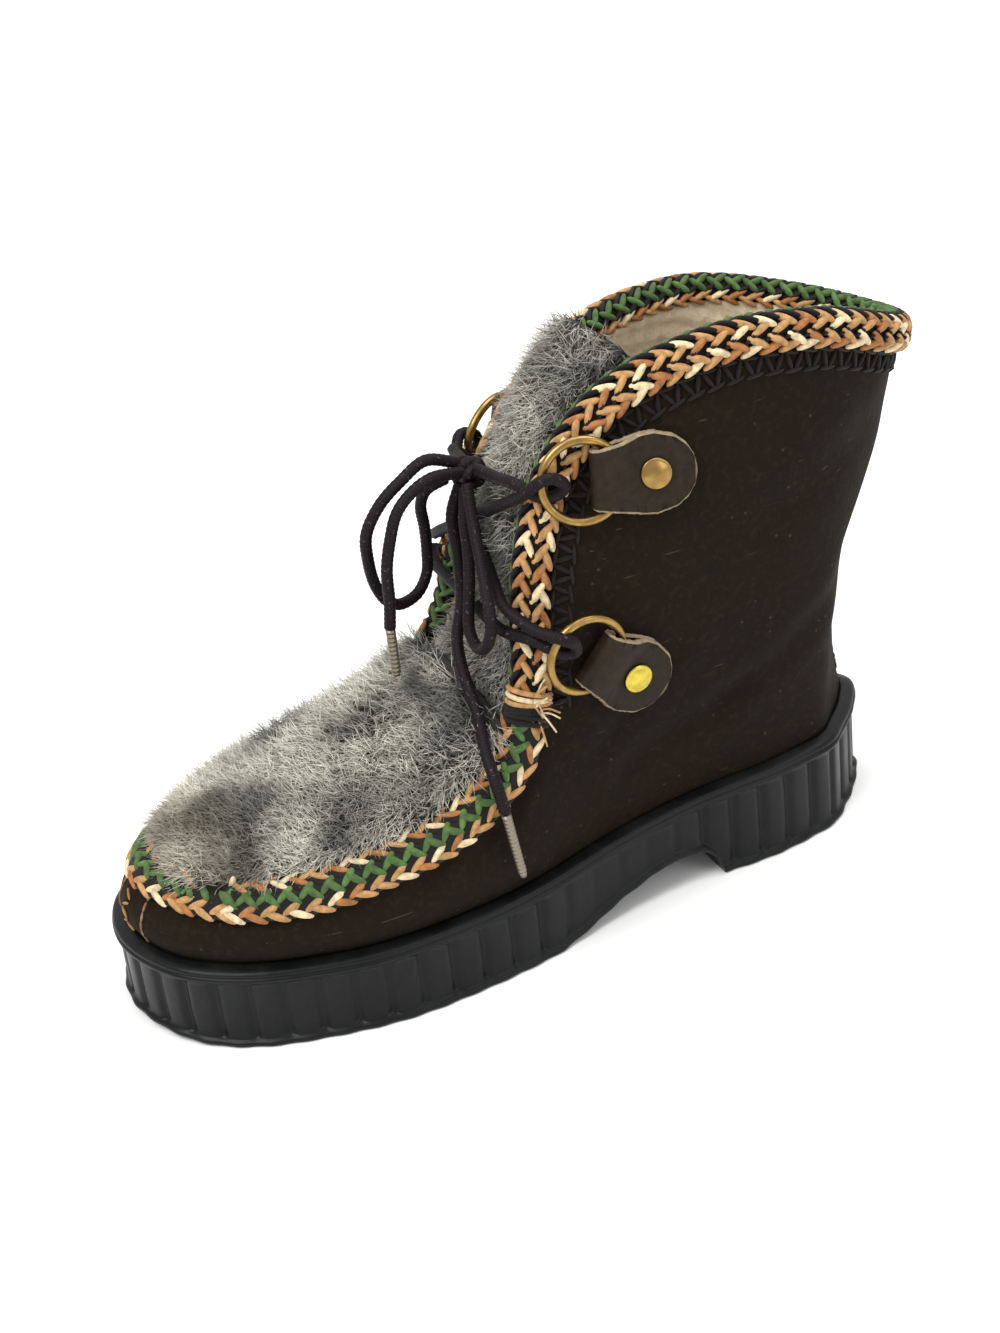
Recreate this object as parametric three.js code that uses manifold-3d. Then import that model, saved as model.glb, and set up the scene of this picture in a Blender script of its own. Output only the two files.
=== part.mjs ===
// Mukluk, the left shoe of a pair: a leather and fur winter boot on a moulded rubber cup sole.
// Millimetres, +Z up, toe towards -Y, lateral side towards +X, origin at the centre of the heel tread.
import * as THREE from 'three';
import { mergeVertices } from 'three/addons/utils/BufferGeometryUtils.js';
import Module from 'manifold-3d';

const wasm = await Module();
wasm.setup();

// Driving sizes of the sole
const LENGTH = 256;
const BALL_WIDTH = 98;
const HEEL_BACK = 30.9;
const WALL_AT_TOE = 24.4;
const WALL_AT_BALL = 22.5;
const WALL_AT_HEEL = 29.3;
const ARCH_HEIGHT = 11.2;
const TOE_SPRING = 1.9;
const BAND_HEIGHT = 3.4;
const BAND_WIDTH = 5;
const BAND_EDGE = 0.9;
const CUP_DEPTH = 9;
const WALL_STEP = 1.3;
const FLUTE_PITCH = 10.5;
const FLUTE_DEPTH = 1.1;
const LIP_HEIGHT = 2;

// Driving sizes of the upper and of what is set into it
const COLLAR_HEIGHT = 180;
const LEATHER = 2.5;
const INSOLE = 4;
const INSOLE_PLAY = 1.5;
const FUR_HEIGHT = 5;
const LOCK_RAISE = 2.4;
const LOCK_LEAN = 3;
const TONGUE_HIDE = 2.5;
const BRAID_WIDTH = 13;
const BRAID_THICKNESS = 3;

// Driving sizes of the rings, tabs, rivets and lace
const RING_OUTER = 26;
const RING_WIRE = 2.6;
const TAB_WIDTH = 24;
const TAB_FOLD_WIDTH = 17;
const TAB_LEATHER = 1.9;
const RIVET_CAP = 9;
const RIVET_SHANK = 4;
const LACE = 3.5;
const AGLET = 3;

// Clearance between pieces that meet
const GAP = 0.3;
const SLIVER = 0.03;

const HALF_BALL = BALL_WIDTH / 2;
const table = (columns, rows) => rows.map((row) => Object.fromEntries(columns.map((name, i) => [name, row[i]])));

// Outline of the sole from above, from the heel's back along the lateral side to the toe and back.
// along: share of LENGTH from the heel's back. out: share of half BALL_WIDTH, lateral side positive.
const OUTLINE = table(['along', 'out'], [
  [0, 0], [0.03, 0.27], [0.07, 0.48], [0.1, 0.61], [0.15, 0.68], [0.205, 0.72], [0.315, 0.715],
  [0.43, 0.785], [0.54, 0.92], [0.63, 0.98], [0.725, 0.99], [0.81, 0.905], [0.9, 0.735],
  [0.965, 0.455], [1, -0.03], [0.982, -0.476], [0.917, -0.79], [0.83, -0.985], [0.77, -1.02],
  [0.675, -0.94], [0.565, -0.8], [0.455, -0.67], [0.345, -0.63], [0.235, -0.66], [0.15, -0.66],
  [0.075, -0.52], [0.03, -0.3],
]);
const TOE_ROW = 14;

// Height of the tread above the floor along the sole. up: share of ARCH_HEIGHT.
const ARCH = table(['along', 'up'], [
  [0, 0], [0.274, 0], [0.282, 0.55], [0.298, 0.88], [0.325, 1], [0.36, 0.97], [0.42, 0.62],
  [0.47, 0.24], [0.515, 0], [1, 0],
]);

// Top edge of the upper, a row for each section from the toe (first row) to the back (last row).
// foot: share of the way round the sole from toe to heel where the section stands.
// along, out and up place the edge, as shares of LENGTH, half BALL_WIDTH and COLLAR_HEIGHT.
// l: lateral side, m: medial side.
const SECTIONS = table(['foot', 'lAlong', 'lOut', 'lUp', 'mAlong', 'mOut', 'mUp'], [
  [0, 0.951, -0.02, 0.27, 0.951, -0.02, 0.27],
  [0.12, 0.902, 0.49, 0.261, 0.9, -0.51, 0.252],
  [0.2, 0.824, 0.796, 0.272, 0.822, -0.8, 0.252],
  [0.3, 0.726, 0.898, 0.292, 0.724, -0.87, 0.268],
  [0.4, 0.6285, 0.898, 0.322, 0.626, -0.865, 0.295],
  [0.475, 0.5465, 0.816, 0.394, 0.5425, -0.77, 0.37],
  [0.52, 0.5152, 0.725, 0.511, 0.504, -0.64, 0.483],
  [0.555, 0.5016, 0.665, 0.628, 0.488, -0.51, 0.6],
  [0.59, 0.486, 0.64, 0.733, 0.4603, -0.439, 0.706],
  [0.625, 0.452, 0.612, 0.839, 0.4173, -0.439, 0.803],
  [0.68, 0.376, 0.633, 0.944, 0.3491, -0.561, 0.884],
  [0.76, 0.2496, 0.755, 1, 0.2379, -0.796, 0.917],
  [0.85, 0.1285, 0.816, 0.989, 0.109, -0.878, 0.914],
  [0.93, 0.0035, 0.612, 0.92, -0.0043, -0.592, 0.88],
  [1, -0.055, 0, 0.87, -0.055, 0, 0.87],
]);

// How far a section swells outwards at four heights (shares of the section), in shares of half BALL_WIDTH.
const SWELL_AT = [0, 0.15, 0.35, 0.6, 0.8, 1];
const SWELL = table(['foot', 'low', 'middle', 'high', 'top'], [
  [0, 0.053, 0.09, 0.09, 0.053],
  [0.3, 0.051, 0.078, 0.078, 0.049],
  [0.475, 0.051, 0.102, 0.102, 0.061],
  [0.555, 0.061, 0.122, 0.12, 0.07],
  [0.625, 0.071, 0.163, 0.214, 0.153],
  [0.68, 0.071, 0.163, 0.224, 0.194],
  [0.76, 0.041, 0.102, 0.163, 0.163],
  [0.85, 0.02, 0.051, 0.092, 0.102],
  [0.93, -0.071, -0.122, -0.041, 0],
  [1, -0.127, -0.235, -0.102, -0.041],
]);
const MEDIAL_FULLNESS = 1.25;

// Middle line of the vamp's and the tongue's hide, one row for each section of the upper that they span.
const VAMP_RIDGE = table(['section', 'along', 'up'], [
  [0, 0.951, 0.27], [1, 0.911, 0.292], [2, 0.8277, 0.333], [3, 0.7301, 0.375], [4, 0.6324, 0.425],
  [5, 0.568, 0.481], [6, 0.527, 0.562],
]);
const TONGUE_RIDGE = table(['section', 'along', 'up'], [
  [5, 0.545, 0.425], [5.3, 0.532, 0.47], [6, 0.506, 0.53], [7, 0.4957, 0.628], [8, 0.4723, 0.728], [9, 0.441, 0.833],
  [10, 0.398, 0.928], [10.5, 0.3473, 1],
]);
const VAMP_END = 5.1;

const alongToY = (along) => HEEL_BACK - along * LENGTH;
const yToAlong = (y) => THREE.MathUtils.clamp((HEEL_BACK - y) / LENGTH, 0, 1);
const vec = (x, y, z) => new THREE.Vector3(x, y, z);

// Smooth curve through values at uneven places: cubic pieces with slopes from the neighbours.
function spline(xs, ys, x) {
  const last = xs.length - 1;
  let i = 0;
  while (i < last - 1 && x > xs[i + 1]) i += 1;
  const slope = (k) => {
    const a = Math.max(k - 1, 0);
    const b = Math.min(k + 1, last);
    return (ys[b] - ys[a]) / (xs[b] - xs[a]);
  };
  const width = xs[i + 1] - xs[i];
  const t = THREE.MathUtils.clamp((x - xs[i]) / width, 0, 1);
  const t2 = t * t;
  const t3 = t2 * t;
  return (2 * t3 - 3 * t2 + 1) * ys[i] + (t3 - 2 * t2 + t) * width * slope(i)
    + (-2 * t3 + 3 * t2) * ys[i + 1] + (t3 - t2) * width * slope(i + 1);
}

function straight(rows, key, value, x) {
  let i = 0;
  while (i < rows.length - 2 && x > rows[i + 1][key]) i += 1;
  const t = THREE.MathUtils.clamp((x - rows[i][key]) / (rows[i + 1][key] - rows[i][key]), 0, 1);
  return THREE.MathUtils.lerp(rows[i][value], rows[i + 1][value], t);
}

const column = (rows, name) => rows.map((row) => row[name]);

// Geometry helpers

// A closed body as a manifold, and back as a mesh.
function toSolid(geometry) {
  const bare = geometry.clone();
  bare.deleteAttribute('normal');
  bare.deleteAttribute('uv');
  const merged = mergeVertices(bare, 1e-5);
  const source = merged.index.array;
  const kept = [];
  for (let i = 0; i < source.length; i += 3) {
    const [a, b, c] = [source[i], source[i + 1], source[i + 2]];
    if (a !== b && b !== c && c !== a) kept.push(a, b, c);
  }
  return new wasm.Manifold(new wasm.Mesh({
    numProp: 3,
    vertProperties: new Float32Array(merged.attributes.position.array),
    triVerts: new Uint32Array(kept),
  }));
}

function toGeometry(solid) {
  const { vertProperties, triVerts } = solid.getMesh();
  const geometry = new THREE.BufferGeometry();
  geometry.setAttribute('position', new THREE.BufferAttribute(new Float32Array(vertProperties), 3));
  geometry.setIndex(new THREE.BufferAttribute(new Uint32Array(triVerts), 1));
  geometry.computeVertexNormals();
  return geometry;
}

function fromTriangles(points, triangles) {
  const geometry = new THREE.BufferGeometry();
  geometry.setAttribute('position', new THREE.Float32BufferAttribute(points.flatMap((p) => [p.x, p.y, p.z]), 3));
  geometry.setIndex(triangles);
  return geometry;
}

// Two triangles for each cell of a grid of points, rows by columns, wound so that rows x columns faces out.
function gridTriangles(rows, columns, start, closed, flip) {
  const triangles = [];
  const across = closed ? columns : columns - 1;
  for (let r = 0; r < rows - 1; r += 1) {
    for (let c = 0; c < across; c += 1) {
      const next = (c + 1) % columns;
      const a = start + r * columns + c;
      const b = start + r * columns + next;
      const d = start + (r + 1) * columns + c;
      const e = start + (r + 1) * columns + next;
      if (flip) triangles.push(a, d, e, a, e, b);
      else triangles.push(a, b, e, a, e, d);
    }
  }
  return triangles;
}

// A body between an outer and an inner grid that both close round.
function tubeWall(outer, inner) {
  const rows = outer.length;
  const columns = outer[0].length;
  const points = [...outer.flat(), ...inner.flat()];
  const shift = rows * columns;
  const triangles = [
    ...gridTriangles(rows, columns, 0, true, false),
    ...gridTriangles(rows, columns, shift, true, true),
  ];
  for (let c = 0; c < columns; c += 1) {
    const next = (c + 1) % columns;
    const top = (rows - 1) * columns;
    triangles.push(top + c, top + next, shift + top + next, top + c, shift + top + next, shift + top + c);
    triangles.push(next, c, shift + c, next, shift + c, shift + next);
  }
  return fromTriangles(points, triangles);
}

// A body between a face grid and a back grid with four open sides.
function plate(face, back) {
  const rows = face.length;
  const columns = face[0].length;
  const points = [...face.flat(), ...back.flat()];
  const shift = rows * columns;
  const triangles = [
    ...gridTriangles(rows, columns, 0, false, false),
    ...gridTriangles(rows, columns, shift, false, true),
  ];
  const border = [];
  for (let c = 0; c < columns - 1; c += 1) border.push([c + 1, c]);
  for (let r = 0; r < rows - 1; r += 1) border.push([r * columns, (r + 1) * columns]);
  for (let c = 0; c < columns - 1; c += 1) border.push([(rows - 1) * columns + c, (rows - 1) * columns + c + 1]);
  for (let r = rows - 1; r > 0; r -= 1) border.push([(r + 1) * columns - 1, r * columns - 1]);
  for (const [a, b] of border) triangles.push(a, b, shift + b, a, shift + b, shift + a);
  return fromTriangles(points, triangles);
}

// A section carried along a row of frames, closed by its own outline at both ends.
function band(sections, contour) {
  const columns = contour.length;
  const triangles = gridTriangles(sections.length, columns, 0, true, false);
  const turned = THREE.ShapeUtils.area(contour) < 0;
  const cap = THREE.ShapeUtils.triangulateShape(contour, []).map((face) => (turned ? [...face].reverse() : face));
  const last = (sections.length - 1) * columns;
  for (const [a, b, c] of cap) {
    triangles.push(a, c, b);
    triangles.push(last + a, last + b, last + c);
  }
  return fromTriangles(sections.flat(), triangles);
}

// A body whose triangles all face inwards is turned round.
function facingOut(geometry) {
  const solid = toSolid(geometry);
  if (solid.volume() >= 0) return solid;
  const index = [...geometry.index.array];
  for (let i = 0; i < index.length; i += 3) [index[i + 1], index[i + 2]] = [index[i + 2], index[i + 1]];
  geometry.setIndex(index);
  return toSolid(geometry);
}

const largest = (solid) => solid.decompose().reduce((best, part) => (part.volume() > best.volume() ? part : best));

// Outline and heights of the sole

const outlineCurve = new THREE.CatmullRomCurve3(
  OUTLINE.map((row) => vec(row.out * HALF_BALL, alongToY(row.along), 0)), true, 'centripetal');
outlineCurve.arcLengthDivisions = 1200;
const perimeter = outlineCurve.getLength();
const lengthsAlong = outlineCurve.getLengths();
const toeShare = lengthsAlong[Math.round((TOE_ROW / OUTLINE.length) * 1200)] / perimeter;

// A point of the outline, at a share of its way round, moved inwards in plan by inset.
function rimPoint(share, inset) {
  const t = ((share % 1) + 1) % 1;
  const point = outlineCurve.getPointAt(t);
  const tangent = outlineCurve.getTangentAt(t);
  const outward = vec(-tangent.y, tangent.x, 0).normalize();
  return { point: point.addScaledVector(outward, -inset), outward };
}

const ramp = (x, from, to) => THREE.MathUtils.smoothstep(x, from, to);

function wallTop(along) {
  const heelPart = 1 - ramp(along, 0.15, 0.62);
  const toePart = ramp(along, 0.75, 1);
  return WALL_AT_BALL + (WALL_AT_HEEL - WALL_AT_BALL) * heelPart + (WALL_AT_TOE - WALL_AT_BALL) * toePart;
}

const treadHeight = (along) => ARCH_HEIGHT * straight(ARCH, 'along', 'up', along)
  + TOE_SPRING * ramp(along, 0.88, 1) ** 2;
const bandTop = (along) => wallTop(along) + BAND_HEIGHT;
const cupFloor = (along) => bandTop(along) - CUP_DEPTH;

// Outsole: rings of points from the tread's edge up the fluted wall, over the band and down into the cup

const FLUTES = Math.round(perimeter / FLUTE_PITCH);
const FLUTE_PHASES = [{ at: 0, deep: 0 }, { at: 0.52, deep: 0 }, { at: 0.76, deep: 1 }];
const BREAST_ALONG = ARCH[1].along;
const BREAST_TOP = ARCH[2].along;

// Triangles that close the first and the last ring, in strips from side to side, from the heel to the toe.
function endStrips(rings, toe) {
  const count = rings[0].length;
  const triangles = [];
  let a = 0;
  let b = count;
  while (a < toe || b > toe) {
    const nextA = a < toe ? rings[0][a + 1].y : -Infinity;
    const nextB = b > toe ? rings[0][(b - 1) % count].y : -Infinity;
    const useA = nextA >= nextB;
    const face = [a, b % count, (useA ? a + 1 : b - 1) % count];
    const top = face.map((i) => (rings.length - 1) * count + i);
    triangles.push(face[0], face[2], face[1], ...top);
    if (useA) a += 1;
    else b -= 1;
  }
  return triangles;
}

function soleStations() {
  const stations = [];
  for (let i = 0; i < FLUTES; i += 1) {
    for (const phase of FLUTE_PHASES) stations.push({ share: (i + phase.at) / FLUTES, deep: phase.deep });
  }
  // The two stations nearest to the heel breast on each side move onto it, so that it stands straight.
  for (const side of [0, 1]) {
    for (const target of [BREAST_ALONG, BREAST_TOP]) {
      const onSide = stations.filter((s) => (s.share > toeShare) === (side === 1) && !s.fixed);
      const off = (s) => Math.abs(yToAlong(rimPoint(s.share, 0).point.y) - target);
      const nearest = onSide.reduce((best, s) => (off(s) < off(best) ? s : best));
      for (let step = 0; step < 12; step += 1) {
        const miss = yToAlong(rimPoint(nearest.share, 0).point.y) - target;
        nearest.share += (miss * LENGTH * (side === 0 ? -1 : 1)) / perimeter;
      }
      nearest.fixed = true;
    }
  }
  return stations.sort((a, b) => a.share - b.share);
}

function makeOutsole() {
  const stations = soleStations();
  const profile = [
    { inset: 0.6, height: (a) => treadHeight(a), flute: 0 },
    { inset: 0.1, height: (a) => treadHeight(a) + LIP_HEIGHT, flute: 0 },
    { inset: WALL_STEP, height: (a) => treadHeight(a) + LIP_HEIGHT * 1.5, flute: 1 },
    { inset: WALL_STEP, height: (a) => wallTop(a) - 0.6, flute: 1 },
    { inset: 0, height: (a) => wallTop(a), flute: 0 },
    { inset: 0.2, height: (a) => bandTop(a) - BAND_EDGE, flute: 0 },
    { inset: 1.6, height: (a) => bandTop(a), flute: 0 },
    { inset: BAND_WIDTH, height: (a) => bandTop(a) + BAND_EDGE, flute: 0 },
    { inset: BAND_WIDTH, height: (a) => cupFloor(a), flute: 0 },
  ];
  const count = stations.length;
  const rings = profile.map(({ inset, height, flute }) => stations.map(({ share, deep }) => {
    const along0 = yToAlong(rimPoint(share, 0).point.y);
    const waist = ramp(along0, 0.3, 0.36) * (1 - ramp(along0, 0.46, 0.54));
    const { point } = rimPoint(share, inset + flute * deep * FLUTE_DEPTH * (1 - waist));
    point.z = height(yToAlong(point.y));
    return point;
  }));
  const triangles = gridTriangles(rings.length, count, 0, true, true);
  const toe = stations.reduce((best, s, i) => (
    Math.abs(s.share - toeShare) < Math.abs(stations[best].share - toeShare) ? i : best), 0);
  triangles.push(...endStrips(rings, toe));
  return facingOut(fromTriangles(rings.flat(), triangles));
}

// The upper as a function: round is the way along the sections, 0 at the toe, 0.5 at the back, lateral side
// first; height is 0 at the sole's ledge and 1 at the top edge.

const LAST_SECTION = SECTIONS.length - 1;
const ROUND_SECTIONS = 2 * LAST_SECTION;
const edgePoint = (row, side) => vec(
  row[`${side}Out`] * HALF_BALL, alongToY(row[`${side}Along`]), row[`${side}Up`] * COLLAR_HEIGHT);
const edgeCurve = new THREE.CatmullRomCurve3([
  ...SECTIONS.map((row) => edgePoint(row, 'l')),
  ...SECTIONS.slice(1, -1).reverse().map((row) => edgePoint(row, 'm')),
], true, 'centripetal');

const sectionOf = (round) => ROUND_SECTIONS * (round <= 0.5 ? round : 1 - round);
const roundOf = (section, side) => (side > 0 ? section : ROUND_SECTIONS - section) / ROUND_SECTIONS;
const sectionIndex = SECTIONS.map((_, i) => i);

function footShare(section, side) {
  const foot = spline(sectionIndex, column(SECTIONS, 'foot'), section);
  return side > 0 ? toeShare * (1 - foot) : toeShare + (1 - toeShare) * foot;
}

function swell(foot, height, side) {
  const places = column(SWELL, 'foot');
  const values = ['low', 'middle', 'high', 'top'].map((name) => spline(places, column(SWELL, name), foot));
  const fuller = side > 0 ? 1 : 1 + (MEDIAL_FULLNESS - 1) * ramp(foot, 0.4, 0.6) * (1 - ramp(foot, 0.8, 0.95));
  return HALF_BALL * fuller * spline(SWELL_AT, [0, ...values, 0], height);
}

function upperPoint(round, height) {
  const r = ((round % 1) + 1) % 1;
  const side = r <= 0.5 ? 1 : -1;
  const section = sectionOf(r);
  const { point, outward } = rimPoint(footShare(section, side), BAND_WIDTH + GAP);
  point.z = bandTop(yToAlong(point.y)) + BAND_EDGE;
  const foot = spline(sectionIndex, column(SECTIONS, 'foot'), section);
  return point.lerp(edgeCurve.getPoint(r), height).addScaledVector(outward, swell(foot, height, side));
}

const UPPER_STATIONS = 48;
const UPPER_ROWS = [0, 0.12, 0.28, 0.46, 0.64, 0.82, 1];

const STATION_STEP = ROUND_SECTIONS / UPPER_STATIONS;
const BRAID_STATION = 9;

// At the top edge: the way along the edge, the wall's outward normal, and the way on past the edge.
function edgeFrame(round) {
  const step = 1 / UPPER_STATIONS;
  const at = upperPoint(round, 1);
  const along = upperPoint(round + step, 1).sub(upperPoint(round - step, 1)).normalize();
  const up = at.clone().sub(upperPoint(round, UPPER_ROWS.at(-2))).normalize();
  const normal = along.clone().cross(up).normalize();
  const past = normal.clone().cross(along).normalize();
  return { at, along, normal, past };
}

function upperGrid() {
  const rounds = Array.from({ length: UPPER_STATIONS }, (_, i) => i / UPPER_STATIONS);
  const rows = UPPER_ROWS.map((height) => rounds.map((round) => upperPoint(round, height)));
  const bottom = rows[0].map((p) => vec(p.x, p.y, cupFloor(yToAlong(p.y)) + GAP));
  return [bottom, ...rows];
}

// The wall between the outer face and one LEATHER further in; extra makes it thicker on every side.
function makeUpper(extra) {
  const outer = upperGrid();
  const rows = outer.length;
  const count = UPPER_STATIONS;
  const offset = (distance, rise) => outer.map((row, r) => row.map((p, c) => {
    const along = row[(c + 1) % count].clone().sub(row[(c + count - 1) % count]);
    const below = outer[Math.max(r - 1, 1)][c];
    const above = outer[Math.min(r + 1, rows - 1)][c];
    const up = r < 2 ? vec(0, 0, 1) : above.clone().sub(below).normalize();
    const normal = along.cross(up).normalize();
    const point = p.clone().addScaledVector(normal, distance);
    if (r === 0) point.z = p.z;
    if (r === rows - 1) point.addScaledVector(up, rise);
    return point;
  }));
  return facingOut(tubeWall(offset(extra, extra), offset(-LEATHER - extra, extra)));
}

// Insole: lies on the cup's floor, inside the leather

function makeInsole() {
  const count = 52;
  const inset = BAND_WIDTH + GAP + LEATHER + INSOLE_PLAY;
  const side = (lift, extra) => Array.from({ length: count }, (_, i) => {
    const { point } = rimPoint(i / count, inset + extra);
    point.z = cupFloor(yToAlong(point.y)) + GAP + lift;
    return point;
  });
  const rings = [side(0, 0), side(INSOLE * 0.8, 0), side(INSOLE, 1)];
  const triangles = gridTriangles(rings.length, count, 0, true, true);
  triangles.push(...endStrips(rings, Math.round(toeShare * count)));
  return facingOut(fromTriangles(rings.flat(), triangles));
}

// Vamp and tongue: hides that arch between the two sides, with a raised fur mass and locks

const arch = (across, power) => Math.sin(Math.PI * THREE.MathUtils.clamp(across, 0, 1)) ** power;

function ridge(rows, section) {
  const places = column(rows, 'section');
  return vec(0, alongToY(spline(places, column(rows, 'along'), section)),
    COLLAR_HEIGHT * spline(places, column(rows, 'up'), section));
}

// A point of the vamp's hide. depth: how far under its face.
function vampPoint(section, across, depth) {
  const [left, right] = [1, -1].map((side) => {
    const frame = edgeFrame(roundOf(section, side));
    return frame.at.addScaledVector(frame.past, GAP).addScaledVector(frame.normal, -depth);
  });
  const crest = ridge(VAMP_RIDGE, section);
  const ahead = ridge(VAMP_RIDGE, Math.max(section - 0.2, 0));
  const slope = ridge(VAMP_RIDGE, section + 0.2).sub(ahead).normalize();
  const facing = vec(0, -slope.z, slope.y).multiplyScalar(Math.sign(slope.y) || 1);
  const middle = left.clone().add(right).multiplyScalar(0.5);
  crest.x = middle.x;
  crest.addScaledVector(facing, -depth);
  const lift = crest.sub(middle).multiplyScalar(arch(across, 0.72));
  if (section === 0) lift.set(0, 0, 0);
  return left.lerp(right, across).add(lift);
}

// A point of the tongue's hide, whose margins lie inside the throat edges.
const MARGIN_DEPTH = LEATHER + BRAID_THICKNESS + 4 * GAP;
const MARGIN_BACK = 9;

function tonguePoint(section, across, depth) {
  const [left, right] = [1, -1].map((side) => {
    const frame = edgeFrame(roundOf(section, side));
    return frame.at.addScaledVector(frame.past, -MARGIN_BACK).addScaledVector(frame.normal, -MARGIN_DEPTH - depth);
  });
  const crest = ridge(TONGUE_RIDGE, section);
  const slope = ridge(TONGUE_RIDGE, section + 0.2).sub(ridge(TONGUE_RIDGE, section - 0.2)).normalize();
  const middle = left.clone().add(right).multiplyScalar(0.5);
  crest.x = middle.x;
  crest.addScaledVector(vec(0, -slope.z, slope.y), -depth);
  return left.lerp(right, across).add(crest.sub(middle).multiplyScalar(arch(across, 0.8)));
}

// Outward normal of a hide by small steps.
function hideNormal(point, section, across) {
  const step = 0.02;
  const alongWay = point(section + step, across, 0).sub(point(Math.max(section - step, 0), across, 0));
  const acrossWay = point(section, Math.min(across + step, 1), 0).sub(point(section, Math.max(across - step, 0), 0));
  return alongWay.cross(acrossWay).normalize();
}

// Fur rises from the hide past a bare margin; fade is 0 at the margin and 1 where it is full.
function furPoint(point, section, across, fade) {
  const base = point(section, across, 0);
  return base.addScaledVector(hideNormal(point, section, across), FUR_HEIGHT * fade);
}

// The fur's face is a grid whose locks are points raised and leaning down the shoe, every second one.
function makeFur(point, sections, columns, fadeOf, depth) {
  const face = sections.map((section, r) => columns.map((across, c) => {
    const fade = fadeOf(section, across);
    const place = furPoint(point, section, across, fade);
    if ((r + c) % 2 || fade < 0.75) return place;
    const down = point(section - 0.1, across, 0).sub(point(section, across, 0)).normalize();
    return place.addScaledVector(hideNormal(point, section, across), LOCK_RAISE).addScaledVector(down, LOCK_LEAN);
  }));
  const back = sections.map((section) => columns.map((across) => point(section, across, depth)));
  return facingOut(plate(face, back));
}

const shares = (count, from, to) => Array.from({ length: count }, (_, i) => from + ((to - from) * i) / (count - 1));

// The vamp's fur starts past the braid, FUR_NEAR from the edge, and is full at FUR_FAR.
const FUR_NEAR = BRAID_WIDTH / 2 + GAP + 1.5;
const FUR_FAR = FUR_NEAR + 4.5;

function vampFade(section, across) {
  const width = vampPoint(section, 0, 0).distanceTo(vampPoint(section, 1, 0));
  const fromSide = Math.min(across, 1 - across) * width * 1.25;
  const fromToe = Math.abs(vampPoint(section, across, 0).y - alongToY(SECTIONS[0].lAlong));
  const inside = ramp(Math.min(fromSide, fromToe), FUR_NEAR, FUR_FAR);
  return inside * (1 - 0.6 * ramp(section, VAMP_END - 0.25, VAMP_END));
}

function tongueFade(section, across) {
  const sides = ramp(Math.min(across, 1 - across), 0.24, 0.34);
  return sides * ramp(section, 6.15, 6.6);
}

const vampSections = [0.15, ...Array.from({ length: BRAID_STATION - 1 }, (_, i) => (i + 1) * STATION_STEP), VAMP_END];
const tongueSections = shares(13, 5, 10.5);
const makeVamp = () => makeFur(vampPoint, vampSections,
  [0, 0.1, 0.18, 0.26, 0.34, 0.42, 0.5, 0.58, 0.66, 0.74, 0.82, 0.9, 1], vampFade, LEATHER);
const makeTongue = () => makeFur(tonguePoint, tongueSections,
  [0, 0.24, 0.33, 0.42, 0.5, 0.58, 0.67, 0.76, 1], tongueFade, TONGUE_HIDE);

// Braids: a band folded over the seam between leather and fur, and a saddle over the throat and collar edge

const SEAM_GAP = 2 * GAP;
const FOLD_FULLNESS = 1.35;
const seamContour = [
  { wall: 1, past: 0, reach: 0.5, lift: 0 }, { wall: 1, past: 0, reach: 0.45, lift: 0.85 },
  { wall: 1, past: 1, reach: 0, lift: 1.15 }, { wall: 0, past: 1, reach: 0.45, lift: 0.85 },
  { wall: 0, past: 1, reach: 0.5, lift: 0 }, { wall: 1, past: 1, reach: 0, lift: 0 },
];

function vampBraidSection(section, side, extra) {
  const round = roundOf(section, side);
  const frame = edgeFrame(round);
  const inward = vampPoint(section, side > 0 ? 0.06 : 0.94, 0).sub(vampPoint(section, side > 0 ? 0 : 1, 0));
  if (section < 0.3) inward.set(0, 1, 0.25);
  inward.addScaledVector(frame.along, -inward.dot(frame.along)).normalize();
  const above = frame.along.clone().cross(inward).normalize();
  if (above.dot(frame.past) < 0) above.negate();
  return seamContour.map(({ wall, past, reach, lift }) => {
    const up = vec(0, 0, 0).addScaledVector(frame.normal, wall).addScaledVector(above, past).normalize();
    const away = wall && past ? vec(0, 0, 0) : (wall ? frame.past.clone().negate() : inward.clone());
    const corner = wall && past ? FOLD_FULLNESS : 1;
    const height = lift > 0 ? SEAM_GAP + lift * BRAID_THICKNESS + extra : SEAM_GAP - extra;
    return frame.at.clone().addScaledVector(away, reach * (BRAID_WIDTH + 2 * extra))
      .addScaledVector(up, corner * height);
  });
}

// The two legs of the band meet along the edge between contour points 2 and 5.
const SEAM_LEGS = [[0, 1, 2, 5], [2, 3, 4, 5]];
const HULL_OVERLAP = 0.4;

function makeVampBraid(extra) {
  const sections = [];
  for (let station = BRAID_STATION; station >= -BRAID_STATION; station -= 1) {
    const side = station >= 0 ? 1 : -1;
    const section = Math.abs(station) * STATION_STEP;
    const pullBack = Math.abs(station) === BRAID_STATION ? -side * GAP : 0;
    const { along } = edgeFrame(roundOf(section, side));
    sections.push(vampBraidSection(section, side, extra).map((point) => point.addScaledVector(along, pullBack)));
  }
  const pieces = [];
  for (let i = 0; i + 1 < sections.length; i += 1) {
    for (const leg of SEAM_LEGS) {
      const back = sections[i][0].clone().sub(sections[i + 1][0]).setLength(i > 0 ? HULL_OVERLAP : 0);
      const corners = [...leg.map((k) => sections[i][k].clone().add(back)), ...leg.map((k) => sections[i + 1][k])];
      pieces.push(wasm.Manifold.hull(corners.map((point) => point.toArray())));
    }
  }
  return wasm.Manifold.union(pieces);
}

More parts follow.
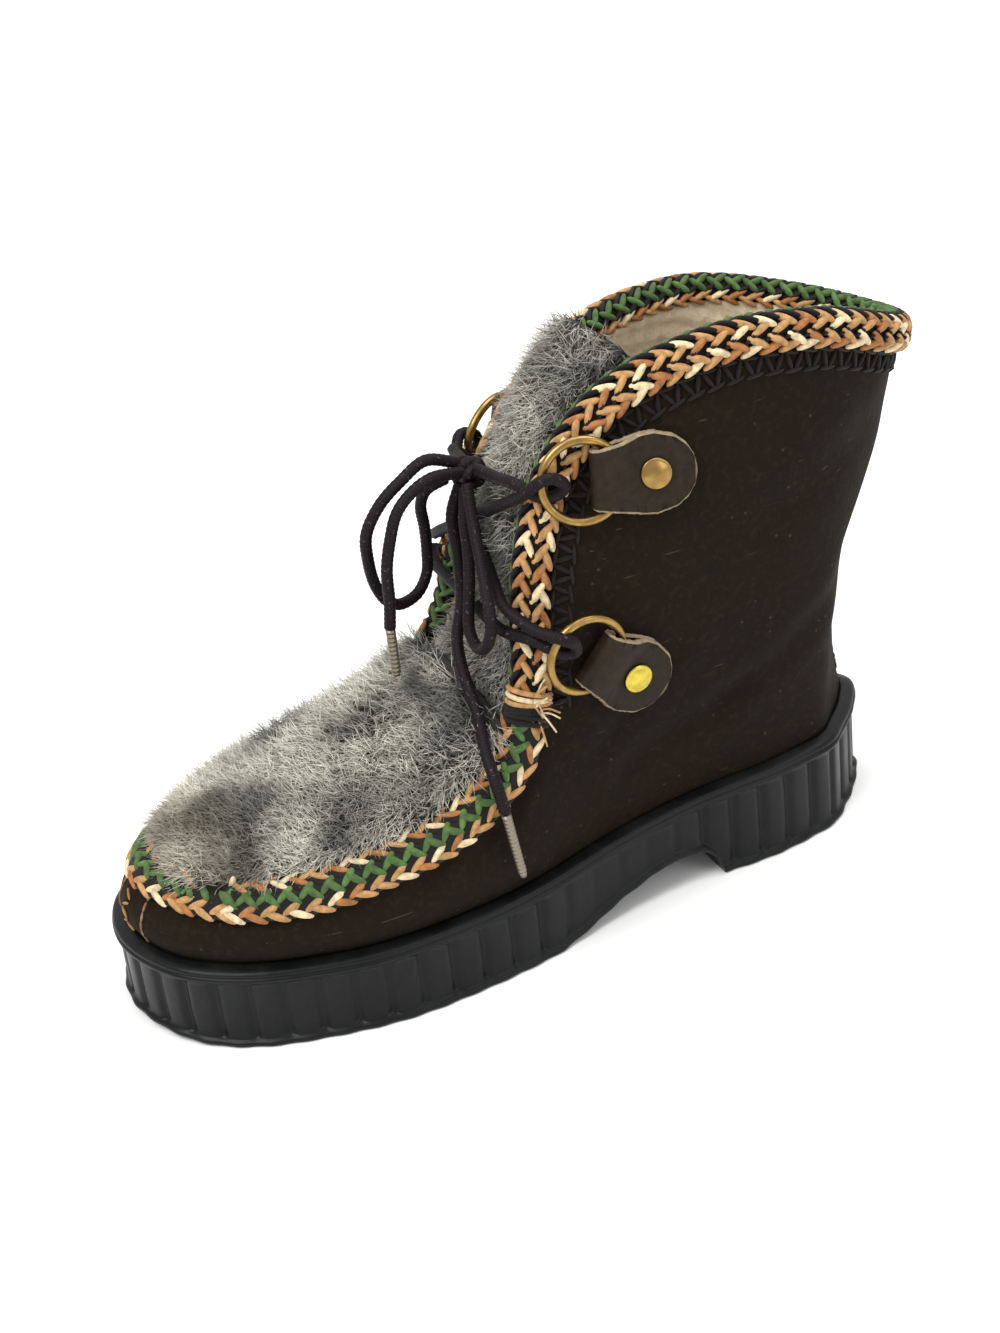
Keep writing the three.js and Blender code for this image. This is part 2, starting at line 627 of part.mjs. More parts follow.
// Saddle section: out is away from the outer face of the leather, past is beyond its edge.
function saddleContour() {
  const outer = 2 * GAP;
  const inner = -LEATHER - 2 * GAP;
  const t = BRAID_THICKNESS;
  const outerLeg = -0.46 * BRAID_WIDTH;
  const innerLeg = -0.36 * BRAID_WIDTH;
  return [
    [outer, outerLeg], [outer + 0.75 * t, outerLeg + 0.4], [outer + t, -0.4 * t], [outer + 0.5 * t, GAP + 0.85 * t],
    [inner - 0.5 * t, GAP + 0.85 * t], [inner - 0.9 * t, -0.4 * t],
    [inner - 0.6 * t, innerLeg + 0.4], [inner, innerLeg], [inner, GAP], [outer, GAP],
  ].map(([out, past]) => new THREE.Vector2(out, past));
}

function makeCollarBraid() {
  const contour = saddleContour();
  const stations = Array.from({ length: UPPER_STATIONS - 2 * BRAID_STATION + 1 }, (_, i) => BRAID_STATION + i);
  const sections = stations.map((station, i) => {
    const frame = edgeFrame(station / UPPER_STATIONS);
    const end = i === 0 ? 1 : (i === stations.length - 1 ? -1 : 0);
    frame.at.addScaledVector(frame.along, end * GAP);
    return contour.map(({ x, y }) => frame.at.clone().addScaledVector(frame.normal, x).addScaledVector(frame.past, y));
  });
  return facingOut(band(sections, contour));
}

// Parts

const group = new THREE.Group();
group.name = 'mukluk';
const MATERIALS = {
  rubber: { color: 0x1d2022, roughness: 0.62, metalness: 0 },
  leather: { color: 0x2f2419, roughness: 0.68, metalness: 0 },
  tab_leather: { color: 0x3a3128, roughness: 0.75, metalness: 0 },
  fur: { color: 0x8a8d8b, roughness: 0.9, metalness: 0 },
  braid: { color: 0xd89a5a, roughness: 0.8, metalness: 0 },
  brass: { color: 0xa8843c, roughness: 0.35, metalness: 1 },
  felt: { color: 0xc9b48c, roughness: 0.95, metalness: 0 },
  lace: { color: 0x1b1316, roughness: 0.7, metalness: 0 },
  aglet: { color: 0x8d8577, roughness: 0.4, metalness: 0.8 },
};

function place(name, material, solid) {
  const mesh = new THREE.Mesh(toGeometry(solid), new THREE.MeshStandardMaterial(MATERIALS[material]));
  mesh.name = name;
  group.add(mesh);
  return mesh;
}

// Rivets, tabs and rings: each tab is a folded strip that lies flat on the leather and holds its ring

const RIVET_TO_FOLD = 18.5;
const FOLD_TO_RING = 2.5;
const TAB_HEIGHT = 2 * (TAB_LEATHER + GAP) + RING_WIRE;
const RING_RADIUS = (RING_OUTER - RING_WIRE) / 2;
const RING_LIFT = TAB_HEIGHT / 2;
const MOUNTS = table(['name', 'side', 'along', 'up', 'turn'], [
  ['upper_lateral', 1, 0.345, 0.822, 6], ['lower_lateral', 1, 0.393, 0.483, 40],
  ['upper_medial', -1, 0.334, 0.772, 6], ['lower_medial', -1, 0.38, 0.464, 40],
]);

const wholeUpper = makeUpper(0);
const upperSurface = new THREE.Mesh(toGeometry(wholeUpper));
const caster = new THREE.Raycaster();

function firstHit(meshes, from, way) {
  caster.set(from, way);
  return caster.intersectObjects(meshes, false)[0];
}

// The frame of a mount: origin at the rivet, P towards the ring, Q across, N out of the leather.
function mountFrame({ side, along, up, turn }) {
  const from = (dy, dz) => firstHit([upperSurface],
    vec(side * BALL_WIDTH * 2, alongToY(along) + dy, COLLAR_HEIGHT * up + dz), vec(-side, 0, 0)).point;
  const reach = TAB_WIDTH / 2;
  const across = from(reach, 0).sub(from(-reach, 0));
  const rise = from(0, reach).sub(from(0, -reach));
  const normal = across.clone().cross(rise).normalize();
  if (normal.x * side < 0) normal.negate();
  const angle = THREE.MathUtils.degToRad(turn);
  const towards = vec(0, -Math.cos(angle), Math.sin(angle));
  towards.addScaledVector(normal, -towards.dot(normal)).normalize();
  const sideways = normal.clone().cross(towards);
  const origin = from(0, 0);
  // The tab is lifted until its underside clears the leather everywhere.
  let lift = 0;
  for (let p = -TAB_WIDTH / 2; p <= RIVET_TO_FOLD; p += 2) {
    for (const q of [-0.5, -0.3, 0, 0.3, 0.5]) {
      const start = origin.clone().addScaledVector(towards, p)
        .addScaledVector(sideways, q * TAB_WIDTH).addScaledVector(normal, BALL_WIDTH);
      const hit = firstHit([upperSurface], start, normal.clone().negate());
      if (hit) lift = Math.max(lift, BALL_WIDTH - hit.distance);
    }
  }
  origin.addScaledVector(normal, lift + 2 * GAP);
  return new THREE.Matrix4().makeBasis(towards, sideways, normal).setPosition(origin);
}

const moved = (solid, matrix) => toSolid(toGeometry(solid).applyMatrix4(matrix));

// Side view of the tab: P along, height up. The hole is the loop that the ring runs through.
function makeTab() {
  const half = TAB_WIDTH / 2;
  const fold = RIVET_TO_FOLD;
  const loopEnd = fold + FOLD_TO_RING - RING_RADIUS - RING_WIRE / 2 - GAP;
  const side = new THREE.Shape([[-half, 0], [fold - 1.6, 0], [fold - 0.4, TAB_HEIGHT * 0.22],
    [fold, TAB_HEIGHT / 2], [fold - 0.4, TAB_HEIGHT * 0.78], [fold - 1.6, TAB_HEIGHT],
    [loopEnd, TAB_HEIGHT], [RIVET_CAP / 2 + GAP, 2 * TAB_LEATHER], [-half, 2 * TAB_LEATHER],
  ].map(([x, y]) => new THREE.Vector2(x, y)));
  side.holes.push(new THREE.Path([[loopEnd - 1.4, TAB_HEIGHT / 2], [loopEnd, TAB_LEATHER],
    [fold - TAB_LEATHER, TAB_LEATHER], [fold - TAB_LEATHER, TAB_HEIGHT - TAB_LEATHER],
    [loopEnd, TAB_HEIGHT - TAB_LEATHER]].map(([x, y]) => new THREE.Vector2(x, y))));
  const strip = new THREE.ExtrudeGeometry(side, { depth: TAB_WIDTH + 2, bevelEnabled: false });
  strip.rotateX(Math.PI / 2);
  strip.translate(0, half + 1, 0);
  const round = Array.from({ length: 9 }, (_, i) => Math.PI / 2 + (Math.PI * i) / 8);
  const outline = new THREE.Shape([...round.map((a) => [half * Math.cos(a), half * Math.sin(a)]),
    [4, -half * 0.97], [10, -half * 0.84], [fold + 1, -TAB_FOLD_WIDTH / 2], [fold + 1, TAB_FOLD_WIDTH / 2],
    [10, half * 0.84], [4, half * 0.97]].map(([x, y]) => new THREE.Vector2(x, y)));
  const plan = new THREE.ExtrudeGeometry(outline, { depth: TAB_HEIGHT + 2, bevelEnabled: false });
  plan.translate(0, 0, -1);
  const shankHole = new THREE.CylinderGeometry(RIVET_SHANK / 2 + GAP, RIVET_SHANK / 2 + GAP, 4 * TAB_HEIGHT, 10);
  shankHole.rotateX(Math.PI / 2);
  return toSolid(strip).intersect(toSolid(plan)).subtract(toSolid(shankHole));
}

// Rivet: domed cap on the tab, shank through tab and leather, burr inside.
function makeRivet(depth) {
  const cap = RIVET_CAP / 2;
  const shank = RIVET_SHANK / 2;
  const top = 2 * TAB_LEATHER + GAP;
  const burr = -depth - GAP;
  const profile = [[0, burr - 1], [cap * 0.8, burr - 1], [cap * 0.8, burr], [shank, burr], [shank, top],
    [cap, top], [cap, top + 0.5], [cap * 0.7, top + 1.3], [0, top + 1.5]];
  const lathe = new THREE.LatheGeometry(profile.map(([x, y]) => new THREE.Vector2(x, y)), 10);
  lathe.rotateX(Math.PI / 2);
  return facingOut(lathe);
}

const RIVET_GRIP = LEATHER + 1.2;
const ringCentre = RIVET_TO_FOLD + FOLD_TO_RING;
const frames = MOUNTS.map((mount) => ({ ...mount, matrix: mountFrame(mount) }));

function makeRing() {
  const torus = new THREE.TorusGeometry(RING_RADIUS, RING_WIRE / 2, 6, 16);
  torus.translate(ringCentre, 0, RING_LIFT);
  return toSolid(torus);
}

function shankHoleIn(matrix) {
  const hole = new THREE.CylinderGeometry(RIVET_SHANK / 2 + GAP, RIVET_SHANK / 2 + GAP, 6 * RIVET_GRIP, 8);
  hole.rotateX(Math.PI / 2);
  return toSolid(hole.applyMatrix4(matrix));
}

// Lace: the crossing is drawn over what lies beneath it, then tied into a bow

const KNOT = vec(4, -98.5, 146);
const KNOT_SIZE = vec(6.6, 5.4, 6.2);
// Routes of the free cords, chosen by hand, x, y, z.
const LOOP_LEFT = [[4, -101.4, 149.6], [5, -111.7, 153.4], [6, -120.1, 149.8], [6, -127.5, 144.2],
  [5, -132.2, 136.2], [3, -132.2, 127.1], [1, -130.5, 117.9], [-1, -127.1, 110.8], [-3, -122.3, 107],
  [-5.5, -115.4, 107.5], [-7.5, -111, 112], [-8, -109.8, 119], [-7, -110, 127.5], [-5, -111, 135.5],
  [-2.5, -109.5, 141], [0, -104, 144]];
const END_LEFT = [[6.4, -101.4, 147.4], [9, -112.1, 149.4], [10, -118.9, 147.2], [11, -124.3, 142.9],
  [11, -127.6, 134.8], [11, -129.7, 126.3], [10, -129.9, 115.3], [9, -130.5, 107.2]];
const AGLET_LEFT = [[9, -130.5, 106.6], [8.7, -130.4, 91]];
const END_RIGHT = [[3.6, -101.2, 143], [4.5, -105.4, 134], [7, -106, 122.5], [10.6, -108, 110],
  [15, -112.6, 100], [22, -114.6, 92.5], [31, -115.4, 84.6], [41.5, -118.2, 76.6], [49.2, -119, 68.8],
  [51.6, -118.4, 61.5]];
const AGLET_RIGHT = [[51.7, -118.3, 60.8], [51.2, -115, 38]];
const LOOP_RIGHT = [
  [7.4, -101.4, 143], [10.3, -104, 134], [12.9, -105, 125.6], [16.5, -107.2, 117.7], [18.7, -109.2, 110.9],
  [20, -110.3, 106.6], [22.8, -111, 103.6], [27, -111.2, 102.4], [31.3, -111, 103.7],
  [34.4, -110.5, 107.3], [35.2, -109.8, 110.9], [33.9, -108.9, 115.6], [29.6, -107.6, 120.6],
  [23, -105.6, 127.6], [16.4, -103.8, 136], [10.6, -102, 145.4],
];

// A cord: rings of points carried along a smooth curve, closed at both ends.
const CORD_SIDES = 6;
const CORD_STEP = LACE * 2.2;
const STRAND_STEPS = 14;
const OVER_BRAID = 11 * GAP;
const SUNK_IN_FUR = FUR_HEIGHT * 0.3;

function tube(points, radius) {
  const curve = new THREE.CatmullRomCurve3(points.map((p) => (p.isVector3 ? p : vec(...p))), false, 'centripetal');
  const steps = Math.max(1, Math.round(curve.getLength() / CORD_STEP));
  const { normals, binormals } = curve.computeFrenetFrames(steps, false);
  const circle = Array.from({ length: CORD_SIDES }, (_, k) => {
    const angle = (2 * Math.PI * k) / CORD_SIDES;
    return new THREE.Vector2(radius * Math.cos(angle), radius * Math.sin(angle));
  });
  const rings = normals.map((normal, i) => circle.map(({ x, y }) => (
    curve.getPointAt(i / steps).addScaledVector(normal, x).addScaledVector(binormals[i], y))));
  return facingOut(band(rings, circle));
}

const strandStart = (frame) => vec(ringCentre + RING_RADIUS * 0.45, 0, RING_LIFT + RING_WIRE / 2 + LACE / 2 + GAP)
  .applyMatrix4(frame.matrix);
const strandOver = (frame) => vec(ringCentre + RING_RADIUS + 2, 0, RING_LIFT + RING_WIRE / 2 + LACE / 2 + 5 * GAP)
  .applyMatrix4(frame.matrix);

// A strand between two places, pulled taut over what lies beneath it.
function draped(from, to, meshes, steps, sink) {
  const points = Array.from({ length: steps + 1 }, (_, i) => from.clone().lerp(to, i / steps));
  const rest = points.map((point) => {
    const hit = firstHit(meshes, vec(point.x, -LENGTH, point.z), vec(0, 1, 0));
    if (!hit) return Infinity;
    return hit.point.y - LACE / 2 + (hit.object.userData.soft ? sink : -OVER_BRAID);
  });
  for (let pass = 0; pass < 200; pass += 1) {
    for (let i = 1; i < steps; i += 1) {
      points[i].y = Math.min(rest[i], (points[i - 1].y + points[i + 1].y) / 2);
    }
  }
  return points.slice(1, -1);
}

function makeCrossings(meshes, radius) {
  const [upperLat, lowerLat, upperMed, lowerMed] = frames;
  const strands = [[lowerLat, lowerMed], [lowerLat, upperMed], [lowerMed, upperLat]].map(([a, b]) => (
    tube([strandStart(a), strandOver(a),
      ...draped(strandOver(a), strandOver(b), meshes, STRAND_STEPS, SUNK_IN_FUR),
      strandOver(b), strandStart(b)], radius)));
  const toKnot = [upperLat, upperMed].map((frame) => {
    const start = strandOver(frame);
    const stop = KNOT.clone().lerp(start, (KNOT_SIZE.x + GAP + 0.5) / KNOT.distanceTo(start));
    return tube([strandStart(frame), start, ...draped(start, stop, meshes, 6, 0), stop], radius);
  });
  return wasm.Manifold.union([...strands, ...toKnot]);
}

// Parts in the order in which they are put together

place('outsole', 'rubber', makeOutsole());
place('insole', 'felt', makeInsole());
const fatUpper = makeUpper(GAP);
const fitted = (solid, taken) => largest(solid.subtract(taken)).simplify(SLIVER);
const vampBraid = place('vamp_braid', 'braid', fitted(makeVampBraid(0), fatUpper));
const collarBraid = place('collar_braid', 'braid', fitted(makeCollarBraid(), fatUpper));
place('upper', 'leather', frames.reduce((solid, { matrix }) => solid.subtract(shankHoleIn(matrix)), wholeUpper));

const furUnder = [makeVamp(), makeTongue()].map((solid) => new THREE.Mesh(toGeometry(solid)));
for (const mesh of furUnder) mesh.userData.soft = true;
const under = [...furUnder, vampBraid, collarBraid];
const cords = {
  lace_loop_left: LOOP_LEFT, lace_loop_right: LOOP_RIGHT, lace_end_left: END_LEFT, lace_end_right: END_RIGHT,
};
const aglets = { aglet_left: AGLET_LEFT, aglet_right: AGLET_RIGHT };
const knotBall = (extra) => {
  const ball = new THREE.SphereGeometry(1, 10, 7);
  ball.scale(KNOT_SIZE.x + extra, KNOT_SIZE.y + extra, KNOT_SIZE.z + extra);
  ball.translate(KNOT.x, KNOT.y, KNOT.z);
  return toSolid(ball);
};
// The fur gives way where the lace lies on it.
const parting = wasm.Manifold.union([
  makeVampBraid(GAP), fatUpper, makeCrossings(under, LACE / 2 + GAP), knotBall(GAP),
  ...Object.values(cords).map((route) => tube(route, LACE / 2 + GAP)),
  ...Object.values(aglets).map((route) => tube(route, AGLET / 2 + GAP))]);
place('vamp', 'fur', fitted(makeVamp(), parting));
place('tongue', 'fur', fitted(makeTongue(), parting));

for (const { name, matrix } of frames) {
  place(`tab_${name}`, 'tab_leather', moved(makeTab(), matrix));
  place(`ring_${name}`, 'brass', moved(makeRing(), matrix));
  place(`rivet_${name}`, 'brass', moved(makeRivet(RIVET_GRIP), matrix));
}
const clearOfKnot = knotBall(GAP);
place('lace_crossings', 'lace', fitted(makeCrossings(under, LACE / 2), clearOfKnot));
place('lace_knot', 'lace', knotBall(0));
for (const [name, route] of Object.entries(cords)) {
  place(name, 'lace', fitted(tube(route, LACE / 2), clearOfKnot));
}
for (const [name, route] of Object.entries(aglets)) place(name, 'aglet', tube(route, AGLET / 2));

export default group;
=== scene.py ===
"""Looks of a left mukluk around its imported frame: metres, +Z up, toe towards -Y, lateral side towards +X."""
import math

import bpy
import numpy as np
from mathutils import Matrix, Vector
from mathutils.bvhtree import BVHTree


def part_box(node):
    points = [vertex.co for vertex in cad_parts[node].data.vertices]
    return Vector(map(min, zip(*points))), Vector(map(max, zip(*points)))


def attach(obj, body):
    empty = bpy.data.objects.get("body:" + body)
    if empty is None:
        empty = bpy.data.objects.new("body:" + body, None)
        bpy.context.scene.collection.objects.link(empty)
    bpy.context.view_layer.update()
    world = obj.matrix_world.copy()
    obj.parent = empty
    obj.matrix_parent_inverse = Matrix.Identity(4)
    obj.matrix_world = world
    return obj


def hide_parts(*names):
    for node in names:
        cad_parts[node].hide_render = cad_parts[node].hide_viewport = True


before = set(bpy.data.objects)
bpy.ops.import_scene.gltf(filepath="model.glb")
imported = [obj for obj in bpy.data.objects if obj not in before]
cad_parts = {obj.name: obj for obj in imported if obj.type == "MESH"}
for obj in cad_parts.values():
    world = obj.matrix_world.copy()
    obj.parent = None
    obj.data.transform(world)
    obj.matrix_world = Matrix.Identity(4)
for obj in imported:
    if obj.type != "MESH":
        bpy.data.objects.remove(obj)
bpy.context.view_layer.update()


# Camera and room. A hand-held camera stands in front of the lateral side and looks down on the shoe,
# which stands on a white studio table under large soft lights.

EYE = np.array([0.55105, -0.31569, 0.40716])
EYE_UP = np.array([-0.44713, 0.30508, 0.84090])
AIM = np.array([0.0, -0.0941, 0.0778])
LENS = 60
TABLE_REACH = 3.0
# Area lights: name, place, side of the square, watts
LAMPS = (("key", (0.35, -0.95, 1.25), 0.7, 16), ("top", (-0.1, 0.35, 1.5), 1.0, 14),
         ("fill", (1.3, 0.6, 0.8), 0.8, 5))


def colour(code):
    """sRGB hex to linear RGBA: a channel c becomes ((c + 0.055) / 1.055) ** 2.4, or c / 12.92 when dark."""
    parts = [int(code[i:i + 2], 16) / 255 for i in (1, 3, 5)]
    return tuple(c / 12.92 if c <= 0.04045 else ((c + 0.055) / 1.055) ** 2.4 for c in parts) + (1.0,)


def add_node(material, kind, inputs=(), **settings):
    """Adds a shader node. inputs: socket name or index to a value, a hex colour, or an output to link."""
    made = material.node_tree.nodes.new(kind)
    for key, value in settings.items():
        setattr(made, key, value)
    for key, value in dict(inputs).items():
        if isinstance(value, bpy.types.NodeSocket):
            material.node_tree.links.new(value, made.inputs[key])
        else:
            made.inputs[key].default_value = colour(value) if isinstance(value, str) else value
    return made


def new_material(name, **shader):
    """A material whose Principled shader has its sockets set by name (underscore for space)."""
    material = bpy.data.materials.new(name)
    material.use_nodes = True
    sockets = material.node_tree.nodes["Principled BSDF"].inputs
    for key, value in shader.items():
        sockets[key.replace("_", " ")].default_value = colour(value) if isinstance(value, str) else value
    return material


def facing(place, up):
    """The matrix of a camera or lamp at place that looks at AIM, with up kept upright in its view."""
    away = (place - AIM) / np.linalg.norm(place - AIM)
    upright = up - away * (up @ away)
    upright /= np.linalg.norm(upright)
    matrix = np.eye(4)
    matrix[:3, :3] = np.column_stack([np.cross(upright, away), upright, away])
    matrix[:3, 3] = place
    return Matrix(matrix.tolist())


camera = bpy.data.objects.new("camera", bpy.data.cameras.new("camera"))
bpy.context.scene.collection.objects.link(camera)
camera.matrix_world = facing(EYE, EYE_UP)
camera.data.lens = LENS
camera.data.sensor_width = 36
camera.data.clip_start = 0.01
bpy.context.scene.camera = camera

world = bpy.data.worlds.new("studio")
world.use_nodes = True
world.node_tree.nodes["Background"].inputs["Color"].default_value = colour("#ffffff")
world.node_tree.nodes["Background"].inputs["Strength"].default_value = 0.85
bpy.context.scene.world = world
bpy.context.scene.view_settings.view_transform = "Standard"

for name, place, side, power in LAMPS:
    lamp = bpy.data.objects.new(name, bpy.data.lights.new(name, "AREA"))
    lamp.data.size = side
    lamp.data.energy = power
    lamp.matrix_world = facing(np.array(place), np.array([0.0, 0.0, 1.0]))
    bpy.context.scene.collection.objects.link(lamp)


def add_piece(name, points, faces, material, slot=None, uv=None, dye=None, stands_for=None):
    """A smooth mesh object from numpy arrays. faces: rows of 3 or 4 indices, or a list of such arrays.
    uv: one pair per point. dye: one linear RGB per point, kept as a colour attribute of that name.
    stands_for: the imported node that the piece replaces."""
    groups = faces if isinstance(faces, list) else [faces]
    mesh = bpy.data.meshes.new(name)
    corners = np.concatenate([group.ravel() for group in groups]).astype(np.int32)
    sizes = np.concatenate([np.full(len(group), group.shape[1]) for group in groups]).astype(np.int32)
    mesh.vertices.add(len(points))
    mesh.vertices.foreach_set("co", np.asarray(points, np.float32).ravel())
    mesh.loops.add(len(corners))
    mesh.loops.foreach_set("vertex_index", corners)
    mesh.polygons.add(len(sizes))
    mesh.polygons.foreach_set("loop_start", np.concatenate([[0], np.cumsum(sizes)[:-1]]).astype(np.int32))
    mesh.polygons.foreach_set("loop_total", sizes)
    mesh.polygons.foreach_set("use_smooth", np.ones(len(sizes), bool))
    if uv is not None:
        layer = mesh.uv_layers.new(name="along")
        layer.data.foreach_set("uv", np.asarray(uv, np.float32)[corners].ravel())
    if dye is not None:
        layer = mesh.attributes.new("dye", "FLOAT_COLOR", "POINT")
        rgba = np.column_stack([dye, np.ones(len(points))]).astype(np.float32)
        layer.data.foreach_set("color", rgba.ravel())
    mesh.update(calc_edges=True)
    mesh.materials.append(material)
    piece = bpy.data.objects.new(name, mesh)
    bpy.context.scene.collection.objects.link(piece)
    if slot:
        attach(piece, "root")
    if stands_for:
        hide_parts(stands_for)
    return piece


table = add_piece("table_top", TABLE_REACH * np.array([[-1, -1, 0], [1, -1, 0], [1, 1, 0], [-1, 1, 0]]),
                  np.array([[0, 1, 2, 3]]),
                  new_material("white_table", Roughness=0.85, Base_Color="#f4f4f3"))


# Bow. The lace is a round braided cord of dark purple-brown polyester, 3.5 mm thick, tied in a bow in
# front of the tongue: two loops and two ends, each end crimped into a metal aglet.

LACE = 0.0035
AGLET = 0.003
LACE_STEP = 0.0005
LACE_SIDES = 14
LACE_RELIEF = 0.09
LACE_PITCH = 0.0032
LACE_WAVES = 3
CURVE_STEPS = 1201
LOOP_LEFT = [
    (0.004, -0.1014, 0.1496), (0.005, -0.1117, 0.1534), (0.006, -0.1201, 0.1498), (0.006, -0.1275, 0.1442),
    (0.005, -0.1322, 0.1362), (0.003, -0.1322, 0.1271), (0.001, -0.1305, 0.1179), (-0.001, -0.1271, 0.1108),
    (-0.003, -0.1223, 0.107), (-0.0055, -0.1154, 0.1075), (-0.0075, -0.111, 0.112), (-0.008, -0.1098, 0.119),
    (-0.007, -0.11, 0.1275), (-0.005, -0.111, 0.1355), (-0.0025, -0.1095, 0.141), (0, -0.104, 0.144)]
LOOP_RIGHT = [
    (0.0074, -0.1014, 0.143), (0.0103, -0.104, 0.134), (0.0129, -0.105, 0.1256), (0.0165, -0.1072, 0.1177),
    (0.0187, -0.1092, 0.1109), (0.02, -0.1103, 0.1066), (0.0228, -0.111, 0.1036), (0.027, -0.1112, 0.1024),
    (0.0313, -0.111, 0.1037), (0.0344, -0.1105, 0.1073), (0.0352, -0.1098, 0.1109),
    (0.0339, -0.1089, 0.1156), (0.0296, -0.1076, 0.1206), (0.023, -0.1056, 0.1276),
    (0.0164, -0.1038, 0.136), (0.0106, -0.102, 0.1454)]
END_LEFT = [
    (0.0064, -0.1014, 0.1474), (0.009, -0.1121, 0.1494), (0.01, -0.1189, 0.1472), (0.011, -0.1243, 0.1429),
    (0.011, -0.1276, 0.1348), (0.011, -0.1297, 0.1263), (0.01, -0.1299, 0.1153), (0.009, -0.1305, 0.1072)]
END_RIGHT = [
    (0.0036, -0.1012, 0.143), (0.0045, -0.1054, 0.134), (0.007, -0.106, 0.1225), (0.0106, -0.108, 0.11),
    (0.015, -0.1126, 0.1), (0.022, -0.1146, 0.0925), (0.031, -0.1154, 0.0846), (0.0415, -0.1182, 0.0766),
    (0.0492, -0.119, 0.0688), (0.0516, -0.1184, 0.0615)]
AGLET_LEFT = [(0.009, -0.1305, 0.1066), (0.0087, -0.1304, 0.091)]
AGLET_RIGHT = [(0.0517, -0.1183, 0.0608), (0.0512, -0.115, 0.038)]


def cubic(a, b, c, d, w):
    """From b to c as w goes from 0 to 1: a cubic whose end slopes come from the four points, with knots
    spaced by the square root of the distances (centripetal Catmull-Rom)."""
    w = w[..., None]
    ab, bc, cd = (np.sqrt(np.linalg.norm(v - u, axis=-1, keepdims=True)) + 1e-12
                  for u, v in ((a, b), (b, c), (c, d)))
    leave = ((b - a) / ab - (c - a) / (ab + bc) + (c - b) / bc) * bc
    arrive = ((c - b) / bc - (d - b) / (bc + cd) + (d - c) / cd) * bc
    return (b + leave * w + (3 * (c - b) - 2 * leave - arrive) * w ** 2
            + (2 * (b - c) + leave + arrive) * w ** 3)


def curve_through(points, closed=False):
    """A curve of cubics through the points. Returns a function from t, 0 to 1, to places."""
    p = np.asarray(points, float)
    if closed:
        p = np.concatenate([p[-1:], p, p[:2]])
        spans = len(points)
    else:
        p = np.concatenate([2 * p[:1] - p[1:2], p, 2 * p[-1:] - p[-2:-1]])
        spans = len(points) - 1

    def at(t):
        s = (np.asarray(t, float) % 1.0 if closed else np.clip(t, 0, 1)) * spans
        i = np.minimum(s.astype(int), spans - 1)
        return cubic(*(p[i + k] for k in range(4)), s - i)
    return at


def run_of(path):
    """The running length at each point of a path."""
    return np.concatenate([[0], np.cumsum(np.linalg.norm(np.diff(path, axis=0), axis=1))])


def spaced(at, spacing):
    """Points of a curve at equal distances close to spacing, found by inverting its running length."""
    t = np.linspace(0, 1, CURVE_STEPS)
    fine = at(t)
    run = run_of(fine)
    count = max(2, int(round(run[-1] / spacing)) + 1)
    return at(np.interp(np.linspace(0, run[-1], count), run, t))


def frames_along(path):
    """Tangents, and two normals carried along the path: each is the last one made square to the tangent."""
    tangent = np.gradient(path, axis=0)
    tangent /= np.linalg.norm(tangent, axis=1, keepdims=True)
    first = np.empty_like(path)
    normal = np.cross(tangent[0], (0.3, 0.2, 0.93))
    for i, way in enumerate(tangent):
        normal = normal - way * (normal @ way)
        normal /= np.linalg.norm(normal)
        first[i] = normal
    return tangent, first, np.cross(tangent, first)


def grid_faces(rows, columns, round_rows=False, round_columns=False):
    """Quads of a grid of points stored row by row; a round direction joins its last line to its first."""
    r, c = np.meshgrid(np.arange(rows if round_rows else rows - 1),
                       np.arange(columns if round_columns else columns - 1), indexing="ij")
    r, c = r.ravel(), c.ravel()
    r2, c2 = (r + 1) % rows, (c + 1) % columns
    return np.stack([r * columns + c, r * columns + c2, r2 * columns + c2, r2 * columns + c], axis=1)


def tube(path, radius, sides=LACE_SIDES, relief=0.0):
    """Rings of points round a path, closed by a point at each end. With relief, the radius follows
    cos(n a + k s) * cos(n a - k s), n being LACE_WAVES: the crossing strands of a round braid."""
    tangent, one, two = frames_along(path)
    run = run_of(path)
    angle = np.linspace(0, 2 * np.pi, sides, endpoint=False)
    radii = np.broadcast_to(np.asarray(radius, float), (len(path),))[:, None]
    wave = 2 * np.pi * run[:, None] / LACE_PITCH
    radii = radii * (1 + relief * np.cos(LACE_WAVES * angle + wave) * np.cos(LACE_WAVES * angle - wave))
    rings = (path[:, None] + radii[..., None] * (np.cos(angle)[None, :, None] * one[:, None]
                                                 + np.sin(angle)[None, :, None] * two[:, None]))
    points = np.concatenate([rings.reshape(-1, 3), path[:1], path[-1:]])
    uv = np.stack(np.broadcast_arrays(run[:, None] * 1000, angle[None] / (2 * np.pi)), axis=-1)
    uv = np.concatenate([uv.reshape(-1, 2), [[0, 0]], [[run[-1] * 1000, 0]]])
    ring = np.arange(sides)
    after = (ring + 1) % sides
    start, end = len(points) - 2, len(points) - 1
    last = (len(path) - 1) * sides
    caps = np.concatenate([np.stack([np.full(sides, start), after, ring], axis=1),
                           np.stack([np.full(sides, end), last + ring, last + after], axis=1)])
    return points, [grid_faces(len(path), sides, round_columns=True), caps], uv


def joined(parts):
    """Several (points, [quads, triangles], uv) in one."""
    points = np.concatenate([part[0] for part in parts])
    uv = np.concatenate([part[2] for part in parts])
    shift = np.cumsum([0] + [len(part[0]) for part in parts[:-1]])
    return points, [np.concatenate([part[1][k] + s for part, s in zip(parts, shift)]) for k in (0, 1)], uv


def in_object(material):
    return add_node(material, "ShaderNodeTexCoord").outputs["Object"]


def in_uv(material):
    return add_node(material, "ShaderNodeUVMap", uv_map="along").outputs[0]


def noise(material, place, scale, detail, roughness=0.5):
    return add_node(material, "ShaderNodeTexNoise", {
        "Vector": place, "Scale": scale, "Detail": detail, "Roughness": roughness}).outputs["Fac"]


